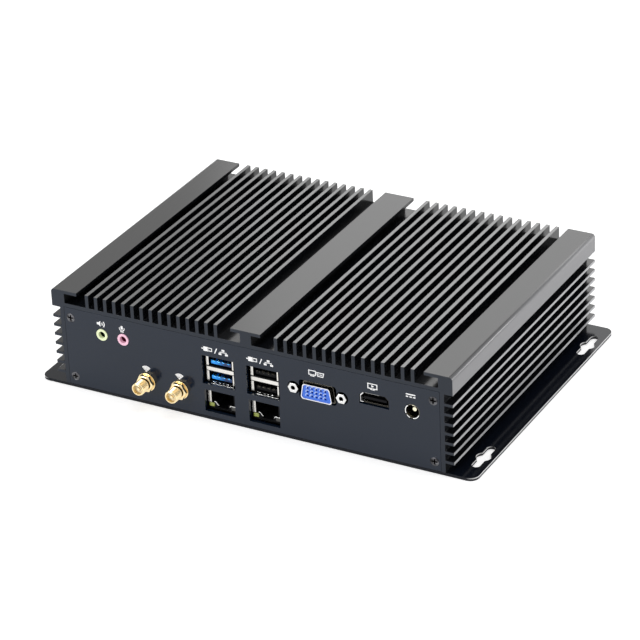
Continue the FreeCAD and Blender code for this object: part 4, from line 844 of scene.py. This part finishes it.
def port_springs():
    """Earthing springs that show at the edges of the stacked ports."""
    form = Form()
    for stack in STACKS:
        place = foot_of(stack)
        for x, width in ((-3.4, 1.6), (-0.6, 0.9), (1.4, 0.7), (3.6, 1.3)):
            form.prism(moved(rectangle(x, 14.65, width, 0.22), *place), 1.9, 2.5)
        form.stroke(moved([(-5.0, 14.1), (7.0, 14.1)], *place), 0.16, 1.2, 1.8)
        for path in ([(-4.4, 3.85), (-3.4, 3.8), (-2.5, 2.5), (-2.0, 2.3)],
                     [(4.0, 2.6), (4.3, 3.3), (6.9, 3.3)]):
            form.stroke(moved(path, *place), 0.34, 2.1, 2.7)
    form.finish("port_springs", "nickel", "nickel", bevel=0.06)


CONTACT_PITCH, CONTACT_SHIFT, ROW_PITCH = 2.29, 0.3, 1.98
CORE_FACE = -1.1  # depth of the video port's blue core


def contact_rims():
    """Raised rims on the upper left of the contact holes of the video port, pale as painted
    highlights.
    """
    form = Form()
    x, z = middle_of("video_shield")
    for row in (-1, 0, 1):
        for column in range(-2, 3):
            middle = (x + column * CONTACT_PITCH + CONTACT_SHIFT * row, z + row * ROW_PITCH)
            form.stroke(arc(*middle, 0.9, 60, 200), 0.36, CORE_FACE - 0.12, CORE_FACE + 0.05)
    form.finish("contact_rims", "rim_glint_blue", "blue_plastic", bevel=0.05)


def video_bead():
    """The bead round the video port, just inside the panel, dark with painted shade."""
    form = Form()
    outline = [(-7.2, 4.1), (7.2, 4.1), (7.6, 3.7), (8.5, -3.6), (8.1, -4.1), (-8.1, -4.1),
               (-8.5, -3.6), (-7.6, 3.7)]
    form.stroke(moved(outline, *middle_of("video_shield")), 0.5, 0.7, 1.2, True)
    form.finish("video_bead", "shaded_contact", "nickel", bevel=0.1)


def display_lip():
    """The folded lower lip of the display port's shield, dark with painted shade."""
    low, high = (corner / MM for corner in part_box("display_shield"))
    form = Form()
    form.stroke([(low.x + 1.9, low.z + 0.5), (high.x - 0.5, low.z + 0.5)], 0.12, 0.65, 1.6)
    form.finish("display_lip", "shaded_contact", "nickel", bevel=0.05)


def inlet_contacts():
    """The sprung side contact inside the power inlet, and the bright lip of its sleeve."""
    x, z = middle_of("inlet_sleeve")
    spring = Form()
    spring.stroke(arc(x, z, 2.8, 62, 98, 8), 0.5, 1.0, 6.0)
    spring.finish("inlet_spring", "pale_contact", "nickel", bevel=0.1)
    lip = Form()
    for start, end in ((128, 205), (218, 250), (275, 338)):
        lip.stroke(arc(x, z, 3.5, start, end, 14), 0.5, 0.12, 0.9)
    lip.finish("inlet_lip", "nickel", "nickel", bevel=0.1)


camera()
studio()
ground()
for make_looks in (housing_finish, painted_parts, shields, bright_metals, plastics):
    make_looks()
dress_nodes()
for node, width in SOFT_EDGES.items():
    soften(node, width)
for make_piece in (antenna_jacks, antenna_nuts, port_signs, network_lamps, bus_contacts,
                   network_wires, port_springs, contact_rims, video_bead, display_lip,
                   inlet_contacts):
    make_piece()

bpy.context.scene.view_settings.view_transform = "Standard"
